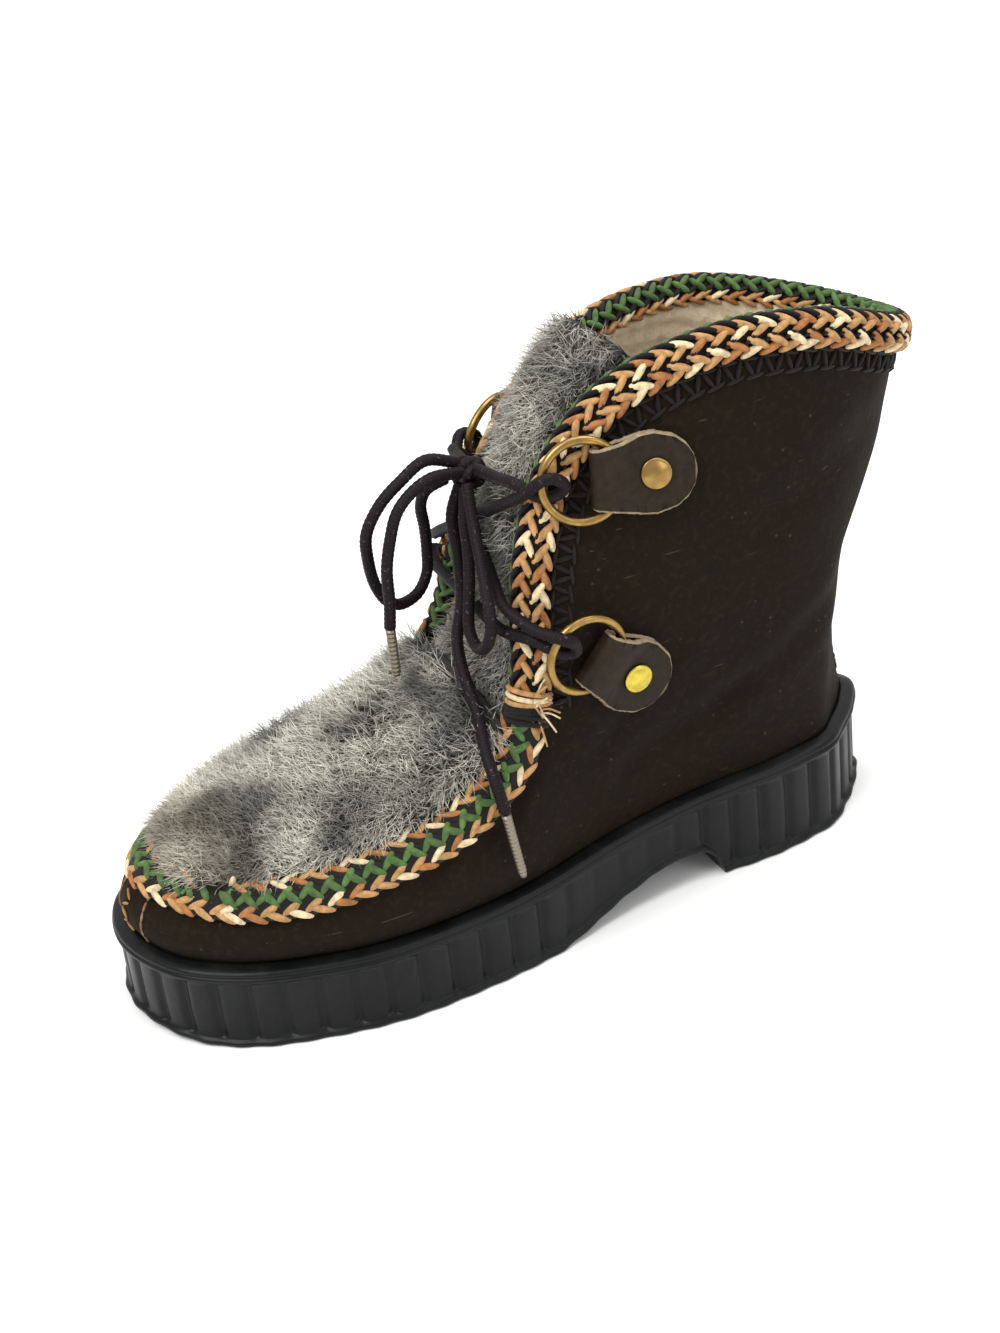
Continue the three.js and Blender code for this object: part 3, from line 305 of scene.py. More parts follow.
def wave(material, place, scale, distortion=0.0):
    return add_node(material, "ShaderNodeTexWave", {
        "Vector": place, "Scale": scale, "Distortion": distortion}).outputs["Fac"]


def spread(material, value, low, high, to_low=0.0, to_high=1.0):
    """value between low and high, mapped to between to_low and to_high."""
    return add_node(material, "ShaderNodeMapRange", {
        "Value": value, "From Min": low, "From Max": high, "To Min": to_low, "To Max": to_high}).outputs[0]


def mixed(material, share, first, second):
    return add_node(material, "ShaderNodeMix", {0: share, 6: first, 7: second}, data_type="RGBA").outputs[2]


def bumped(material, height, strength, distance, **under):
    return add_node(material, "ShaderNodeBump", {
        "Height": height, "Strength": strength, "Distance": distance, **under}).outputs[0]


def finished(material, **outputs):
    """Links outputs to the shader's sockets by name (underscore for space)."""
    sockets = material.node_tree.nodes["Principled BSDF"].inputs
    for key, output in outputs.items():
        material.node_tree.links.new(output, sockets[key.replace("_", " ")])


# Braided polyester cord: matt, with a faint gloss along each strand and a few pale flecks of lint
lace_finish = new_material("braided_polyester_cord", Roughness=0.6, Sheen_Weight=0.02, Sheen_Roughness=0.4,
                           Specular_IOR_Level=0.15)
flecks = noise(lace_finish, in_object(lace_finish), 900, 2)
strand_dark = mixed(lace_finish, wave(lace_finish, in_uv(lace_finish), 0.35, 1.5), "#0b0709", "#190f14")
lint = spread(lace_finish, flecks, 0.66, 0.72)
finished(lace_finish, Base_Color=mixed(lace_finish, lint, strand_dark, "#4d3a44"),
         Normal=bumped(lace_finish, flecks, 0.25, 0.0003))

# Rolled metal aglet: dull grey-brown with a crimped dashed line
aglet_finish = new_material("rolled_steel_aglet", Metallic=0.85, Roughness=0.42, Base_Color="#857c6e")
dashes = wave(aglet_finish, in_uv(aglet_finish), 0.22)
finished(aglet_finish, Normal=bumped(aglet_finish, dashes, 0.5, 0.0004))

for side, route in (("left", AGLET_LEFT), ("right", AGLET_RIGHT)):
    line = spaced(curve_through(route), 0.0008)
    width = AGLET / 2 * np.interp(np.linspace(0, 1, len(line)), [0, 0.06, 0.9, 1], [1.04, 0.97, 0.93, 0.7])
    shape, skin, uv = tube(line, width)
    add_piece(f"aglet_{side}_rolled", shape, skin, aglet_finish, "aglet", uv,
                                   stands_for=f"aglet_{side}")

for name, route, far_end in (
    ("lace_loop_left", LOOP_LEFT, "object"), ("lace_loop_right", LOOP_RIGHT, "object"),
    ("lace_end_left", END_LEFT, "fitting"), ("lace_end_right", END_RIGHT, "fitting"),
):
    line = spaced(curve_through(route), LACE_STEP)
    shape, skin, uv = tube(line, LACE / 2, relief=LACE_RELIEF)
    piece = add_piece(f"{name}_cord", shape, skin, lace_finish, "lace", uv, stands_for=name)
    float(run_of(line)[-1])

# The knot: the cord wound over and through itself, then once round the middle
KNOT = np.mean(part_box("lace_knot"), axis=0)
KNOT_HALF = np.ptp(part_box("lace_knot"), axis=0) / 2
turn = np.linspace(0, 2 * np.pi, 241)
trefoil = np.column_stack([(np.sin(turn) + 2 * np.sin(2 * turn)) / 3, -np.sin(3 * turn),
                           (np.cos(turn) - 2 * np.cos(2 * turn)) / 3])
wrap = np.column_stack([0.35 * np.cos(turn), np.sin(turn), 0.9 * np.cos(turn)])
inner = KNOT_HALF - LACE / 2
shape, skin, uv = joined([tube(KNOT + trefoil * inner * (0.95, 0.7, 0.95), LACE / 2, relief=LACE_RELIEF),
                          tube(KNOT + wrap * inner * (0.9, 1.0, 0.9), LACE / 2, relief=LACE_RELIEF)])
add_piece("lace_knot_cord", shape, skin, lace_finish, "lace", uv, stands_for="lace_knot")


# Sole. One black moulded rubber cup sole: a ribbed wall between a glossy bead at the leather and a thin
# lip at the tread, with a heel and a forefoot and a raised arch between them.

LENGTH = 0.256
HALF_BALL = 0.049
HEEL_BACK = 0.0309
WALL_AT_TOE = 0.0244
WALL_AT_BALL = 0.0225
WALL_AT_HEEL = 0.0293
ARCH_HEIGHT = 0.0112
TOE_SPRING = 0.0019
BAND_HEIGHT = 0.0034
BAND_WIDTH = 0.005
CUP_DEPTH = 0.009
LIP_HEIGHT = 0.002
FLUTE_PITCH = 0.0105
FLUTE_DEPTH = 0.0011
GAP = 0.0003

# Outline from above: share of LENGTH from the heel's back, share of HALF_BALL outwards on the lateral side
OUTLINE = np.array([
    (0, 0), (0.03, 0.27), (0.07, 0.48), (0.1, 0.61), (0.15, 0.68), (0.205, 0.72), (0.315, 0.715),
    (0.43, 0.785), (0.54, 0.92), (0.63, 0.98), (0.725, 0.99), (0.81, 0.905), (0.9, 0.735),
    (0.965, 0.455), (1, -0.03), (0.982, -0.476), (0.917, -0.79), (0.83, -0.985), (0.77, -1.02),
    (0.675, -0.94), (0.565, -0.8), (0.455, -0.67), (0.345, -0.63), (0.235, -0.66), (0.15, -0.66),
    (0.075, -0.52), (0.03, -0.3)])
TOE_ROW = 14
# Height of the tread: share of LENGTH, share of ARCH_HEIGHT
ARCH = np.array([(0, 0), (0.274, 0), (0.282, 0.55), (0.298, 0.88), (0.325, 1), (0.36, 0.97), (0.42, 0.62),
                 (0.47, 0.24), (0.515, 0), (1, 0)])


def ramp(x, low, high):
    """0 below low, 1 above high, and the cubic 3 t2 - 2 t3 between."""
    t = np.clip((x - low) / (high - low), 0, 1)
    return t * t * (3 - 2 * t)


def along_of(y):
    return np.clip((HEEL_BACK - y) / LENGTH, 0, 1)


outline = curve_through(np.column_stack([OUTLINE[:, 1] * HALF_BALL, HEEL_BACK - OUTLINE[:, 0] * LENGTH,
                                         np.zeros(len(OUTLINE))]), closed=True)
rim_t = np.linspace(0, 1, CURVE_STEPS)
rim_run = run_of(outline(rim_t))
PERIMETER = rim_run[-1]
toe_share = rim_run[round(TOE_ROW / len(OUTLINE) * (CURVE_STEPS - 1))] / PERIMETER


def rim(share, inset):
    """A point of the outline at a share of its length, moved inwards by inset, and the outward direction."""
    t = np.interp(np.asarray(share) % 1 * PERIMETER, rim_run, rim_t)
    way = outline(t + 1e-4) - outline(t - 1e-4)
    outward = np.stack([-way[..., 1], way[..., 0], np.zeros(way.shape[:-1])], axis=-1)
    outward /= np.linalg.norm(outward, axis=-1, keepdims=True)
    return outline(t) - outward * np.asarray(inset)[..., None], outward


def wall_top(along):
    return (WALL_AT_BALL + (WALL_AT_HEEL - WALL_AT_BALL) * (1 - ramp(along, 0.15, 0.62))
            + (WALL_AT_TOE - WALL_AT_BALL) * ramp(along, 0.75, 1))


def tread(along):
    return ARCH_HEIGHT * np.interp(along, ARCH[:, 0], ARCH[:, 1]) + TOE_SPRING * ramp(along, 0.88, 1) ** 2


def band_top(along):
    return wall_top(along) + BAND_HEIGHT


def cup_floor(along):
    return band_top(along) - CUP_DEPTH


# Side profile from the tread up, over the band and down into the cup: inset, which height it starts from,
# how far above that, share of the flutes' depth (metres)
SOLE_PROFILE = [
    (0.0012, tread, 0, 0), (0.0006, tread, 0.0002, 0), (0.0002, tread, 0.0007, 0),
    (0.0001, tread, 0.0015, 0), (0.0004, tread, LIP_HEIGHT, 0), (0.0010, tread, LIP_HEIGHT + 0.0003, 0.3),
    (0.0013, tread, LIP_HEIGHT + 0.001, 0.9), (0.0013, tread, LIP_HEIGHT + 0.0018, 1),
    (0.0013, wall_top, -0.0024, 1), (0.0012, wall_top, -0.0014, 0.9), (0.0008, wall_top, -0.0008, 0.4),
    (0.0003, wall_top, -0.0004, 0), (0.0000, wall_top, 0.0001, 0), (0.0000, wall_top, 0.0008, 0),
    (0.0005, wall_top, 0.0012, 0), (0.0007, wall_top, 0.0014, 0), (0.0004, wall_top, 0.0017, 0),
    (0.0003, wall_top, 0.0022, 0), (0.0006, wall_top, 0.0028, 0), (0.0014, wall_top, 0.0033, 0),
    (0.0028, wall_top, 0.0036, 0), (0.0040, wall_top, 0.0040, 0), (0.0050, wall_top, 0.0041, 0),
    (0.0052, wall_top, 0.0034, 0), (0.0052, cup_floor, 0, 0)]
FLUTES = round(PERIMETER / FLUTE_PITCH)
SAMPLES = 12
FIRST_FLUTE = 0.76
SCALLOP = 0.0002


def strips_across(y, toe):
    """Triangles that fill a closed ring of points whose first half runs down in y and second half back up:
    in order of falling y, each point joins the last one reached on either side."""
    count = len(y)
    order = np.argsort(-y, kind="stable")
    first = order <= toe
    side_a = np.maximum.accumulate(np.where(first, order, 0))
    side_b = np.minimum.accumulate(np.where(first, count, order))
    faces = np.stack([side_a[:-1], side_b[:-1] % count, order[1:]], axis=1)
    return faces[np.all(faces != np.roll(faces, 1, axis=1), axis=1)]


def filled(rings):
    """Faces of a stack of closed rings round the outline, its first and last ring filled in."""
    columns = rings.shape[1]
    toe = int(round(toe_share * columns))
    ends = [strips_across(rings[0][:, 1], toe),
            strips_across(rings[-1][:, 1], toe)[:, ::-1] + (len(rings) - 1) * columns]
    return [grid_faces(len(rings), columns, round_columns=True), np.concatenate(ends)]


share = np.arange(FLUTES * SAMPLES) / (FLUTES * SAMPLES)
phase = (share * FLUTES - FIRST_FLUTE) % 1
from_groove = np.minimum(phase, 1 - phase)
groove = np.exp(-(from_groove / 0.13) ** 2) + 0.35 * (1 - 2 * from_groove) ** 2
middle_along = along_of(rim(share, 0)[0][:, 1])
waist = ramp(middle_along, 0.3, 0.36) * (1 - ramp(middle_along, 0.46, 0.54))
scallop = SCALLOP * np.cos(2 * np.pi * phase)
rings = []
for inset, base, above, depth in SOLE_PROFILE:
    lip = scallop if base is tread and depth == 0 else 0
    place = rim(share, inset + lip + depth * FLUTE_DEPTH * groove * (1 - 0.8 * waist))[0]
    place[:, 2] = np.maximum(base(along_of(place[:, 1])) + above, 0)
    rings.append(place)
rings = np.array(rings)

# Moulded rubber: black, satin, slightly uneven, with grey dust in its hollows and shine on the bead
rubber_finish = new_material("moulded_rubber", IOR=1.52, Specular_IOR_Level=0.18)
place = in_object(rubber_finish)
dust = noise(rubber_finish, place, 55, 8, 0.7)
grain = bumped(rubber_finish, noise(rubber_finish, place, 1400, 3), 0.2, 0.0002)
finished(rubber_finish,
         Base_Color=mixed(rubber_finish, spread(rubber_finish, dust, 0.42, 0.75), "#080909", "#161817"),
         Roughness=spread(rubber_finish, dust, 0.3, 0.7, 0.3, 0.5),
         Normal=bumped(rubber_finish, noise(rubber_finish, place, 120, 2), 0.25, 0.0008, Normal=grain))

add_piece("sole_moulded", rings.reshape(-1, 3), filled(rings), rubber_finish, "rubber", stands_for="outsole")


# Upper. One wrap of dark brown oiled suede, 2.5 mm thick, sewn at the toe and heel, lasted into the cup
# sole and left open along the throat and collar. Walking has put soft creases round the ankle.

COLLAR_HEIGHT = 0.180
LEATHER = 0.0025
# foot, then lateral along, out, up, then medial along, out, up of the top edge, toe first
SECTIONS = np.array([
    (0, 0.951, -0.02, 0.27, 0.951, -0.02, 0.27),
    (0.12, 0.902, 0.49, 0.261, 0.9, -0.51, 0.252),
    (0.2, 0.824, 0.796, 0.272, 0.822, -0.8, 0.252),
    (0.3, 0.726, 0.898, 0.292, 0.724, -0.87, 0.268),
    (0.4, 0.6285, 0.898, 0.322, 0.626, -0.865, 0.295),
    (0.475, 0.5465, 0.816, 0.394, 0.5425, -0.77, 0.37),
    (0.52, 0.5152, 0.725, 0.511, 0.504, -0.64, 0.483),
    (0.555, 0.5016, 0.665, 0.628, 0.488, -0.51, 0.6),
    (0.59, 0.486, 0.64, 0.733, 0.4603, -0.439, 0.706),
    (0.625, 0.452, 0.612, 0.839, 0.4173, -0.439, 0.803),
    (0.68, 0.376, 0.633, 0.944, 0.3491, -0.561, 0.884),
    (0.76, 0.2496, 0.755, 1, 0.2379, -0.796, 0.917),
    (0.85, 0.1285, 0.816, 0.989, 0.109, -0.878, 0.914),
    (0.93, 0.0035, 0.612, 0.92, -0.0043, -0.592, 0.88),
    (1, -0.055, 0, 0.87, -0.055, 0, 0.87)])
# foot, then the swell outwards at four heights of the section, in shares of HALF_BALL
SWELL_AT = [0, 0.15, 0.35, 0.6, 0.8, 1]
SWELL = np.array([
    (0, 0.053, 0.09, 0.09, 0.053), (0.3, 0.051, 0.078, 0.078, 0.049), (0.475, 0.051, 0.102, 0.102, 0.061),
    (0.555, 0.061, 0.122, 0.12, 0.07), (0.625, 0.071, 0.163, 0.214, 0.153),
    (0.68, 0.071, 0.163, 0.224, 0.194), (0.76, 0.041, 0.102, 0.163, 0.163), (0.85, 0.02, 0.051, 0.092, 0.102),
    (0.93, -0.071, -0.122, -0.041, 0), (1, -0.127, -0.235, -0.102, -0.041)])
MEDIAL_FULLNESS = 1.25
LAST = len(SECTIONS) - 1
STATIONS = 48
EDGE_ROW = 0.82
SOLE_SEAT = 0.0009
AROUND = 336
BRIM = 0.0005


def smooth(xs, ys, x):
    """Cubic pieces through uneven places xs, the slope at each that of the line between its neighbours.
    ys is one row for all x, or one row for each."""
    xs, x = np.asarray(xs, float), np.asarray(x, float)
    ys = np.broadcast_to(np.asarray(ys, float), x.shape + (len(xs),))
    before = np.maximum(np.arange(len(xs)) - 1, 0)
    after = np.minimum(np.arange(len(xs)) + 1, len(xs) - 1)
    slope = (ys[..., after] - ys[..., before]) / (xs[after] - xs[before])
    i = np.searchsorted(xs[1:-1], x)
    y0, y1, m0, m1 = (np.take_along_axis(v, k[..., None], -1)[..., 0]
                      for v, k in ((ys, i), (ys, i + 1), (slope, i), (slope, i + 1)))
    width = xs[i + 1] - xs[i]
    t = np.clip((x - xs[i]) / width, 0, 1)
    return ((2 * t ** 3 - 3 * t ** 2 + 1) * y0 + (t ** 3 - 2 * t ** 2 + t) * width * m0
            + (3 * t ** 2 - 2 * t ** 3) * y1 + (t ** 3 - t ** 2) * width * m1)


def edge_points(rows, first):
    return np.column_stack([rows[:, first + 1] * HALF_BALL, HEEL_BACK - rows[:, first] * LENGTH,
                            rows[:, first + 2] * COLLAR_HEIGHT])


edge_curve = curve_through(np.concatenate([edge_points(SECTIONS, 1), edge_points(SECTIONS[1:-1], 4)[::-1]]),
                           closed=True)


def upper_at(around, height):
    """The leather's outer face. around: 0 toe, 0.5 back, lateral side first. height: 0 at the sole, 1 at the
    top edge. A straight line from the sole's ledge to the edge, swollen outwards."""
    around, height = np.broadcast_arrays(np.asarray(around, float) % 1, np.asarray(height, float))
    lateral = around <= 0.5
    section = 2 * LAST * np.where(lateral, around, 1 - around)
    foot = smooth(np.arange(LAST + 1), SECTIONS[:, 0], section)
    base, outward = rim(np.where(lateral, toe_share * (1 - foot), toe_share + (1 - toe_share) * foot),
                        np.full(around.shape, BAND_WIDTH + GAP))
    base[..., 2] = band_top(along_of(base[..., 1])) + SOLE_SEAT
    values = [smooth(SWELL[:, 0], SWELL[:, k], foot) for k in (1, 2, 3, 4)]
    none = np.zeros(around.shape)
    waist = ramp(foot, 0.4, 0.6) * (1 - ramp(foot, 0.8, 0.95))
    fuller = np.where(lateral, 1, 1 + (MEDIAL_FULLNESS - 1) * waist)
    swell = HALF_BALL * fuller * smooth(SWELL_AT, np.stack([none, *values, none], axis=-1), height)
    return base + (edge_curve(around) - base) * height[..., None] + outward * swell[..., None]


def unit(v):
    return v / np.maximum(np.linalg.norm(v, axis=-1, keepdims=True), 1e-12)


def upper_rows(around, heights):
    """A grid of the outer face, one row a height: round each row, cubics through its 48 stations."""
    stations = upper_at(np.arange(STATIONS)[None] / STATIONS, heights[:, None])
    place = around % 1 * STATIONS
    i = place.astype(int)
    w = np.broadcast_to(place - i, (len(heights), len(around)))
    return cubic(*(stations[:, (i + k) % STATIONS] for k in (-1, 0, 1, 2)), w)


# Creases of the worn leather: side, y and z of both ends, depth, half width (metres)
CREASES = [
    (1, -0.070, 0.052, -0.030, 0.066, 0.0011, 0.0045), (1, -0.038, 0.060, 0.004, 0.083, 0.0010, 0.0050),
    (1, -0.082, 0.062, -0.052, 0.090, 0.0008, 0.0040), (1, 0.012, 0.090, 0.036, 0.120, 0.0009, 0.0055),
    (1, -0.020, 0.125, 0.022, 0.140, 0.0006, 0.0070), (1, -0.128, 0.046, -0.108, 0.062, 0.0007, 0.0030),
    (1, -0.150, 0.040, -0.136, 0.052, 0.0005, 0.0030), (-1, -0.075, 0.055, -0.030, 0.070, 0.0011, 0.0045),
    (-1, -0.035, 0.064, 0.006, 0.088, 0.0009, 0.0050), (-1, 0.010, 0.095, 0.034, 0.128, 0.0008, 0.0055),
    (-1, -0.130, 0.044, -0.110, 0.060, 0.0006, 0.0030)]


def creased(points):
    """How far each point sinks: bell-shaped valleys, each with low banks, by distance in side view."""
    sunk = np.zeros(points.shape[:-1])
    for side, y0, z0, y1, z1, depth, half in CREASES:
        way = np.array([y1 - y0, z1 - z0])
        flat = points[..., 1:] - (y0, z0)
        t = np.clip(flat @ way / (way @ way), 0, 1)
        away = np.linalg.norm(flat - t[..., None] * way, axis=-1)
        valley = np.exp(-(away / half) ** 2) - 0.35 * np.exp(-(away / half - 1.9) ** 2)
        sunk += (points[..., 0] * side > 0) * depth * valley
    return sunk


def outward_of(rows):
    """Normals of rows that go round the shoe."""
    return unit(np.cross(np.roll(rows, -1, 1) - np.roll(rows, 1, 1), np.gradient(rows, axis=0)))


HEIGHTS = np.concatenate([[0, 0.02], np.linspace(0.05, 0.985, 64), [1.0]])
around = np.arange(AROUND) / AROUND
outer = upper_rows(around, HEIGHTS)
normal = outward_of(outer)
rest = np.minimum(1, np.minimum(HEIGHTS / 0.06, (1 - HEIGHTS) / 0.08))[:, None]
outer = outer - normal * (creased(outer) * rest)[..., None]
inner = outer - normal * LEATHER
foot_ring = outer[:1].copy()
foot_ring[..., 2] = cup_floor(along_of(foot_ring[..., 1])) + GAP
inner_foot = inner[:1].copy()
inner_foot[..., 2] = foot_ring[..., 2]
brim = (outer[-1:] + inner[-1:]) / 2 + unit(outer[-1:] - outer[-2:-1]) * BRIM
shell = np.concatenate([foot_ring, outer, brim, inner[::-1][::2], inner[:1], inner_foot])

# Oiled suede: matt and very dark brown, with a short nap that is lighter where it has been rubbed, dust
# specks and a few fine scratches
leather_finish = new_material("oiled_suede", IOR=1.5, Specular_IOR_Level=0.05, Sheen_Weight=0.01,
                              Sheen_Roughness=0.5)
place = in_object(leather_finish)
cloud = noise(leather_finish, place, 22, 6, 0.65)
nap = noise(leather_finish, place, 420, 5, 0.7)
rubbed = mixed(leather_finish, spread(leather_finish, nap, 0.5, 0.78, to_high=0.55),
               mixed(leather_finish, cloud, "#0f0b06", "#201810"), "#30261a")
cells = add_node(leather_finish, "ShaderNodeTexVoronoi", {"Vector": place, "Scale": 160.0})
specks = spread(leather_finish, cells.outputs["Distance"], 0.1, 0.04, to_high=0.18)
stretched = add_node(leather_finish, "ShaderNodeMapping", {
    "Vector": place, "Rotation": (0.7, 0.3, 0.2), "Scale": (900.0, 60.0, 900.0)})
scratches = spread(leather_finish, noise(leather_finish, stretched.outputs[0], 1, 1), 0.74, 0.8, to_high=0.2)
marks = add_node(leather_finish, "ShaderNodeMath", {0: specks, 1: scratches}, operation="MAXIMUM")
fine = bumped(leather_finish, nap, 0.45, 0.0006)
finished(leather_finish, Base_Color=mixed(leather_finish, marks.outputs[0], rubbed, "#7b6a56"),
         Roughness=spread(leather_finish, cloud, 0.3, 0.7, 0.62, 0.85),
         Normal=bumped(leather_finish, noise(leather_finish, place, 60, 3), 0.3, 0.0012, Normal=fine))

add_piece("upper_suede", shell.reshape(-1, 3),
          grid_faces(len(shell), AROUND, round_rows=True, round_columns=True), leather_finish, "leather",
          stands_for="upper")


# Lining. Cream synthetic fleece on a knitted backing, glued inside the leather from the collar down to
# the footbed, with the same fleece on the footbed. Its pile is short, curly and matted.

PILE = 0.0035
LUMP = 0.006
LUMP_WAVES = 6
LUMP_SPREAD = 3.2
BACKING = 0.0002
INSOLE = 0.004
BED_GAP = 0.0015
BED_SAMPLES = 240
# Rings of the footbed from its underside to its top: inset, share of its thickness
BED_PROFILE = ((0, 0), (0, 0.7), (0.0004, 0.92), (0.0014, 1), (0.004, 1.02))


def lumps(points, scale, octaves, seed):
    """Smooth noise, about -1 to 1: a sum of sine waves in random directions, each octave finer and weaker."""
    draw = np.random.default_rng(seed)
    total = np.zeros(points.shape[:-1])
    for octave in range(octaves):
        for _ in range(LUMP_WAVES):
            way = unit(draw.normal(size=3)) * 2 * np.pi / scale * 2 ** octave
            total += np.sin(points @ way + draw.uniform(0, 2 * np.pi)) / 2 ** octave / LUMP_SPREAD
    return total


LINED = np.linspace(0.03, 0.975, 84)
wall = upper_rows(around, LINED)
wall_normal = outward_of(wall)
pile = PILE * (0.75 + 0.25 * lumps(wall, LUMP, 3, 7)) * np.minimum(1, (1 - LINED)[:, None] / 0.03 + 0.15)
fleece_face = wall - wall_normal * (LEATHER + pile)[..., None]
fleece_back = wall - wall_normal * (LEATHER + BACKING)
lining_rows = np.concatenate([fleece_back[:1], fleece_face, fleece_back[-1:], fleece_back[::-1][1:-1:8]])

fleece_finish = new_material("cream_fleece", Roughness=0.95, Sheen_Weight=0.5, Sheen_Roughness=0.6)
curls = noise(fleece_finish, in_object(fleece_finish), 260, 6, 0.75)
finished(fleece_finish, Base_Color=mixed(fleece_finish, curls, "#b49a72", "#efe2c6"),
         Normal=bumped(fleece_finish, curls, 0.9, 0.0015))

add_piece("fleece_lining", lining_rows.reshape(-1, 3),
          grid_faces(len(lining_rows), AROUND, round_rows=True, round_columns=True), fleece_finish, "felt")

# The footbed: the insole's own outline with a soft fleece top
bed_rings = []
for inset, lift in BED_PROFILE:
    place = rim(np.arange(BED_SAMPLES) / BED_SAMPLES,
                np.full(BED_SAMPLES, BAND_WIDTH + GAP + LEATHER + BED_GAP + inset))[0]
    place[:, 2] = cup_floor(along_of(place[:, 1])) + GAP + INSOLE * lift
    bed_rings.append(place)
bed_rings = np.array(bed_rings)
add_piece("fleece_footbed", bed_rings.reshape(-1, 3), filled(bed_rings), fleece_finish, "felt",
          stands_for="insole")


# Fur. The vamp and the tongue are each one piece of grey seal-like fur: a hide with straight, coarse guard
# hairs, dark at the root and pale at the tip, which lie towards the toe and clump into locks.

TONGUE_HIDE = 0.0025
TONGUE_UNDER = 0.009
BRAID_THICKNESS = 0.003
VAMP_START = 0.15
VAMP_END = 5.1
TONGUE_START = 5.0
TONGUE_END = 10.5
HAIR_RADIUS = 0.00021
HAIR_SUNK = 0.0004
FLEECE_PILE = 0.0024
FIRST_SECTION = 0.02
HIDE_ROWS = 90
HIDE_COLUMNS = 60
# Coats: name, first and last section, hairs, length, seed
VAMP_COATS = (("vamp_fur_toe", 0.3, 2.6, 14600, 0.0105, 11),
              ("vamp_fur_instep", 2.6, VAMP_END, 14600, 0.0115, 12))
TONGUE_COATS = (("tongue_fur", 5.1, TONGUE_END, 13200, 0.0110, 13),)
# section, share of LENGTH, share of COLLAR_HEIGHT of the middle line
VAMP_RIDGE = np.array([(0, 0.951, 0.27), (1, 0.911, 0.292), (2, 0.8277, 0.333), (3, 0.7301, 0.375),
                       (4, 0.6324, 0.425), (5, 0.568, 0.481), (6, 0.527, 0.562)])
TONGUE_RIDGE = np.array([(5, 0.545, 0.425), (5.3, 0.532, 0.47), (6, 0.506, 0.53), (7, 0.4957, 0.628),
                         (8, 0.4723, 0.728), (9, 0.441, 0.833), (10, 0.398, 0.928), (10.5, 0.3473, 1)])


def edge_at(around):
    """At the top edge: place, way along the edge, outward normal, and way on past the edge."""
    at = upper_at(around, 1.0)
    along = unit(upper_at(around + 1 / STATIONS, 1.0) - upper_at(around - 1 / STATIONS, 1.0))
    normal = unit(np.cross(along, unit(at - upper_at(around, EDGE_ROW))))
    return at, along, normal, unit(np.cross(normal, along))


def edge_frame(section, side):
    """edge_at by section and side: above 0 is lateral."""
    return edge_at(np.where(np.asarray(side) > 0, section, 2 * LAST - section) / (2 * LAST))


def ridge_at(rows, section):
    return np.stack([np.zeros(np.shape(section)),
                     HEEL_BACK - LENGTH * smooth(rows[:, 0], rows[:, 1], section),
                     COLLAR_HEIGHT * smooth(rows[:, 0], rows[:, 2], section)], axis=-1)


def hide(section, across, rows, power, reach, sink):
    """A hide between the two top edges: the line from side to side plus an arch of height
    sin(pi across) ** power up to the middle line. reach and sink place its margins past the edge."""
    section, across = np.broadcast_arrays(np.asarray(section, float), np.asarray(across, float))
    ends = []
    for side in (1, -1):
        at, _, normal, past = edge_frame(section, side)
        ends.append(at + past * reach - normal * sink)
    centre = (ends[0] + ends[1]) / 2
    crest = ridge_at(rows, section)
    crest[..., 0] = centre[..., 0]
    arch = np.sin(np.pi * np.clip(across, 0, 1)) ** power
    return ends[0] + (ends[1] - ends[0]) * across[..., None] + (crest - centre) * arch[..., None]


def vamp_at(section, across):
    return hide(section, across, VAMP_RIDGE, 0.72, GAP, 0)


def tongue_at(section, across):
    return hide(section, across, TONGUE_RIDGE, 0.8, -TONGUE_UNDER, LEATHER + BRAID_THICKNESS + 4 * GAP)


def hide_normal(surface, section, across):
    """Outward normal, from small steps along and across the hide."""
    step = 0.02
    on = surface(section + step, across) - surface(np.maximum(section - step, FIRST_SECTION), across)
    over = surface(section, np.minimum(across + step, 1)) - surface(section, np.maximum(across - step, 0))
    return unit(np.cross(on, over))


def vamp_fade(section, across):
    """0 on the bare margin under the braid, 1 where the fur is full."""
    width = np.linalg.norm(vamp_at(section, 0 * across) - vamp_at(section, 0 * across + 1), axis=-1)
    from_side = np.minimum(across, 1 - across) * width * 1.25
    from_toe = np.abs(vamp_at(section, across)[..., 1] - (HEEL_BACK - SECTIONS[0, 1] * LENGTH))
    return ramp(np.minimum(from_side, from_toe), 0.0045, 0.0095)


def tongue_fade(section, across):
    return ramp(np.minimum(across, 1 - across), 0.13, 0.22)


def repeated(count, points, quads, tris):
    """Faces of count alike bodies that have so many points each."""
    first = np.arange(count)[:, None] * points
    return [(quads.ravel()[None] + first).reshape(-1, 4), (tris.ravel()[None] + first).reshape(-1, 3)]


